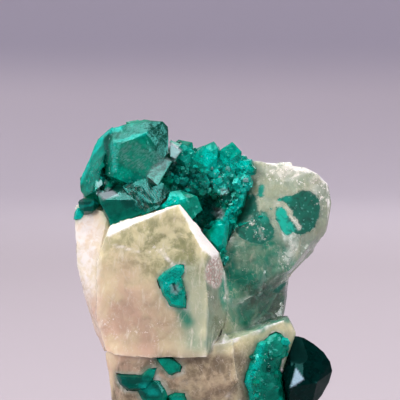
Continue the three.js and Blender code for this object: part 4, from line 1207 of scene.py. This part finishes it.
def dress_dioptase(node_name, piece_name, material):
    """A netted copy of a node. One that sits on the calcite swells to fill its seat, and one that
    is sealed in it sinks below the surface."""
    mesh = evenly_netted(merged_copy(node_name), piece_name, DIOPTASE_NET_MM)
    points = vertex_array(mesh)
    depths, ways = depth_in_calcite(points)
    relief = dioptase_relief(points) * (0.3 if node_name == "dioptase_dark_crystal" else 1.0)
    seat = unit(SEAT_REACH_MM - np.abs(depths))
    if node_name in SEALED:
        sink = np.clip(COVER_MM + relief - depths, 0, None)
        moved = points - ways * sink[:, None]
    else:
        moved = points + normal_array(mesh) * (relief + SEAT_FILL_MM * seat)[:, None]
    facing = normal_array(mesh)
    set_vertices(mesh, moved)
    rim = spread(rim_array(mesh), edge_array(mesh), 1)
    tones = grow_small_crystals(mesh, node_name)
    added = len(tones) - len(rim)
    rim, facing = np.pad(rim, (0, added)), np.pad(facing, ((0, added), (0, 0)))
    paint_dioptase(mesh, node_name, vertex_array(mesh), facing, rim, tones)
    finish_piece(piece_name, mesh, [node_name], material, DIOPTASE_CREASE_DEGREES)


for node_name in sorted(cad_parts):
    if node_name.startswith("dioptase"):
        dark = node_name == "dioptase_dark_crystal"
        stone, slot = (night_green, "dioptase_dark") if dark else (emerald, "dioptase")
        dress_dioptase(node_name, node_name + "_stone", stone)

# %% [markdown]
# ## Studio
# A pale sheet runs from under the piece up into a wall in one sweep. Soft boxes above it and on both
# sides light it, with the most light from the left, and a weak one behind lights its rim.

# %% Backdrop
FLOOR_M, COVE_M, WALL_TOP_M = 0.6, 0.4, 1.6
ROUND_STEPS, FLOOR_STEPS, COVE_STEPS = 96, 14, 24


def round_cove():
    """A profile of a flat floor, a quarter circle and a wall, turned once round the middle."""
    turn = np.linspace(0, math.pi / 2, COVE_STEPS)
    floor = np.linspace(0.01, FLOOR_M, FLOOR_STEPS)
    reach = np.concatenate([floor, FLOOR_M + COVE_M * np.sin(turn[1:]), [FLOOR_M + COVE_M]])
    height = np.concatenate([0 * floor, COVE_M * (1 - np.cos(turn[1:])), [WALL_TOP_M]])
    around = np.linspace(0, 2 * math.pi, ROUND_STEPS + 1)[:-1]
    ring = np.stack([np.cos(around), np.sin(around)], axis=-1)
    level = np.broadcast_to(height[:, None, None], (len(reach), ROUND_STEPS, 1))
    grid = np.concatenate([reach[:, None, None] * ring, level], axis=2)
    index = np.arange(len(reach) * ROUND_STEPS).reshape(len(reach), ROUND_STEPS)
    beside = np.roll(index, -1, axis=1)
    quads = np.stack([index[:-1], beside[:-1], beside[1:], index[1:]], axis=-1).reshape(-1, 4)
    mesh = bpy.data.meshes.new("backdrop")
    mesh.from_pydata(grid.reshape(-1, 3).tolist(), [], quads[:, ::-1].tolist() + [index[0].tolist()])
    mesh.polygons.foreach_set("use_smooth", np.ones(len(mesh.polygons), bool))
    return mesh


def lilac_paper():
    """Matt paper whose colour goes by the distance along the floor and then by the height. It is
    darkest near the piece, where the lamps are close, so that it looks even, and the rising wall is
    painted darker than the far floor, a painted shade."""
    r = Recipe("lilac_paper")
    near_paper, far_paper = (0.43, 0.378, 0.408), (0.7, 0.635, 0.695)
    wall_paper_with_painted_shade = (0.52, 0.48, 0.57)
    away = r.range(r.vector("LENGTH", r.vector("MULTIPLY", r.place, (1, 1, 0))), 300, 680)
    high = r.range(r.vector("DOT_PRODUCT", r.place, (0, 0, 1)), 26, 50)
    colour = r.mix(high, r.mix(away, near_paper, far_paper), wall_paper_with_painted_shade)
    return r.surface(Base_Color=colour, Roughness=0.9, Specular_IOR_Level=0.1)


backdrop = add_object("backdrop", round_cove())
backdrop.data.materials.append(lilac_paper())
print("backdrop", len(backdrop.data.polygons), "faces")

# %% Lights
AIM_M = Vector((0, 0, 0.03))


def soft_box(name, place_m, size_m, power):
    """A square area light that points at the middle of the specimen."""
    data = bpy.data.lights.new(name, "AREA")
    data.size, data.energy = size_m, power
    light = bpy.data.objects.new(name, data)
    light.location = place_m
    light.rotation_euler = (AIM_M - Vector(place_m)).to_track_quat("-Z", "Y").to_euler()
    light.visible_camera = False
    bpy.context.scene.collection.objects.link(light)


soft_box("top", (-0.04, -0.13, 0.6), 0.34, 3.0)
soft_box("left", (-0.6, -0.5, 0.5), 0.36, 5.0)
soft_box("right", (0.66, -0.35, 0.35), 0.35, 3.4)
soft_box("back", (0.12, 0.42, 0.4), 0.35, 1.4)

world = bpy.data.worlds.new("room")
world.use_nodes = True
room = world.node_tree.nodes["Background"]
room.inputs["Color"].default_value = (0.4, 0.36, 0.42, 1)
room.inputs["Strength"].default_value = 0.12
bpy.context.scene.world = world
bpy.context.scene.view_settings.view_transform = "Standard"
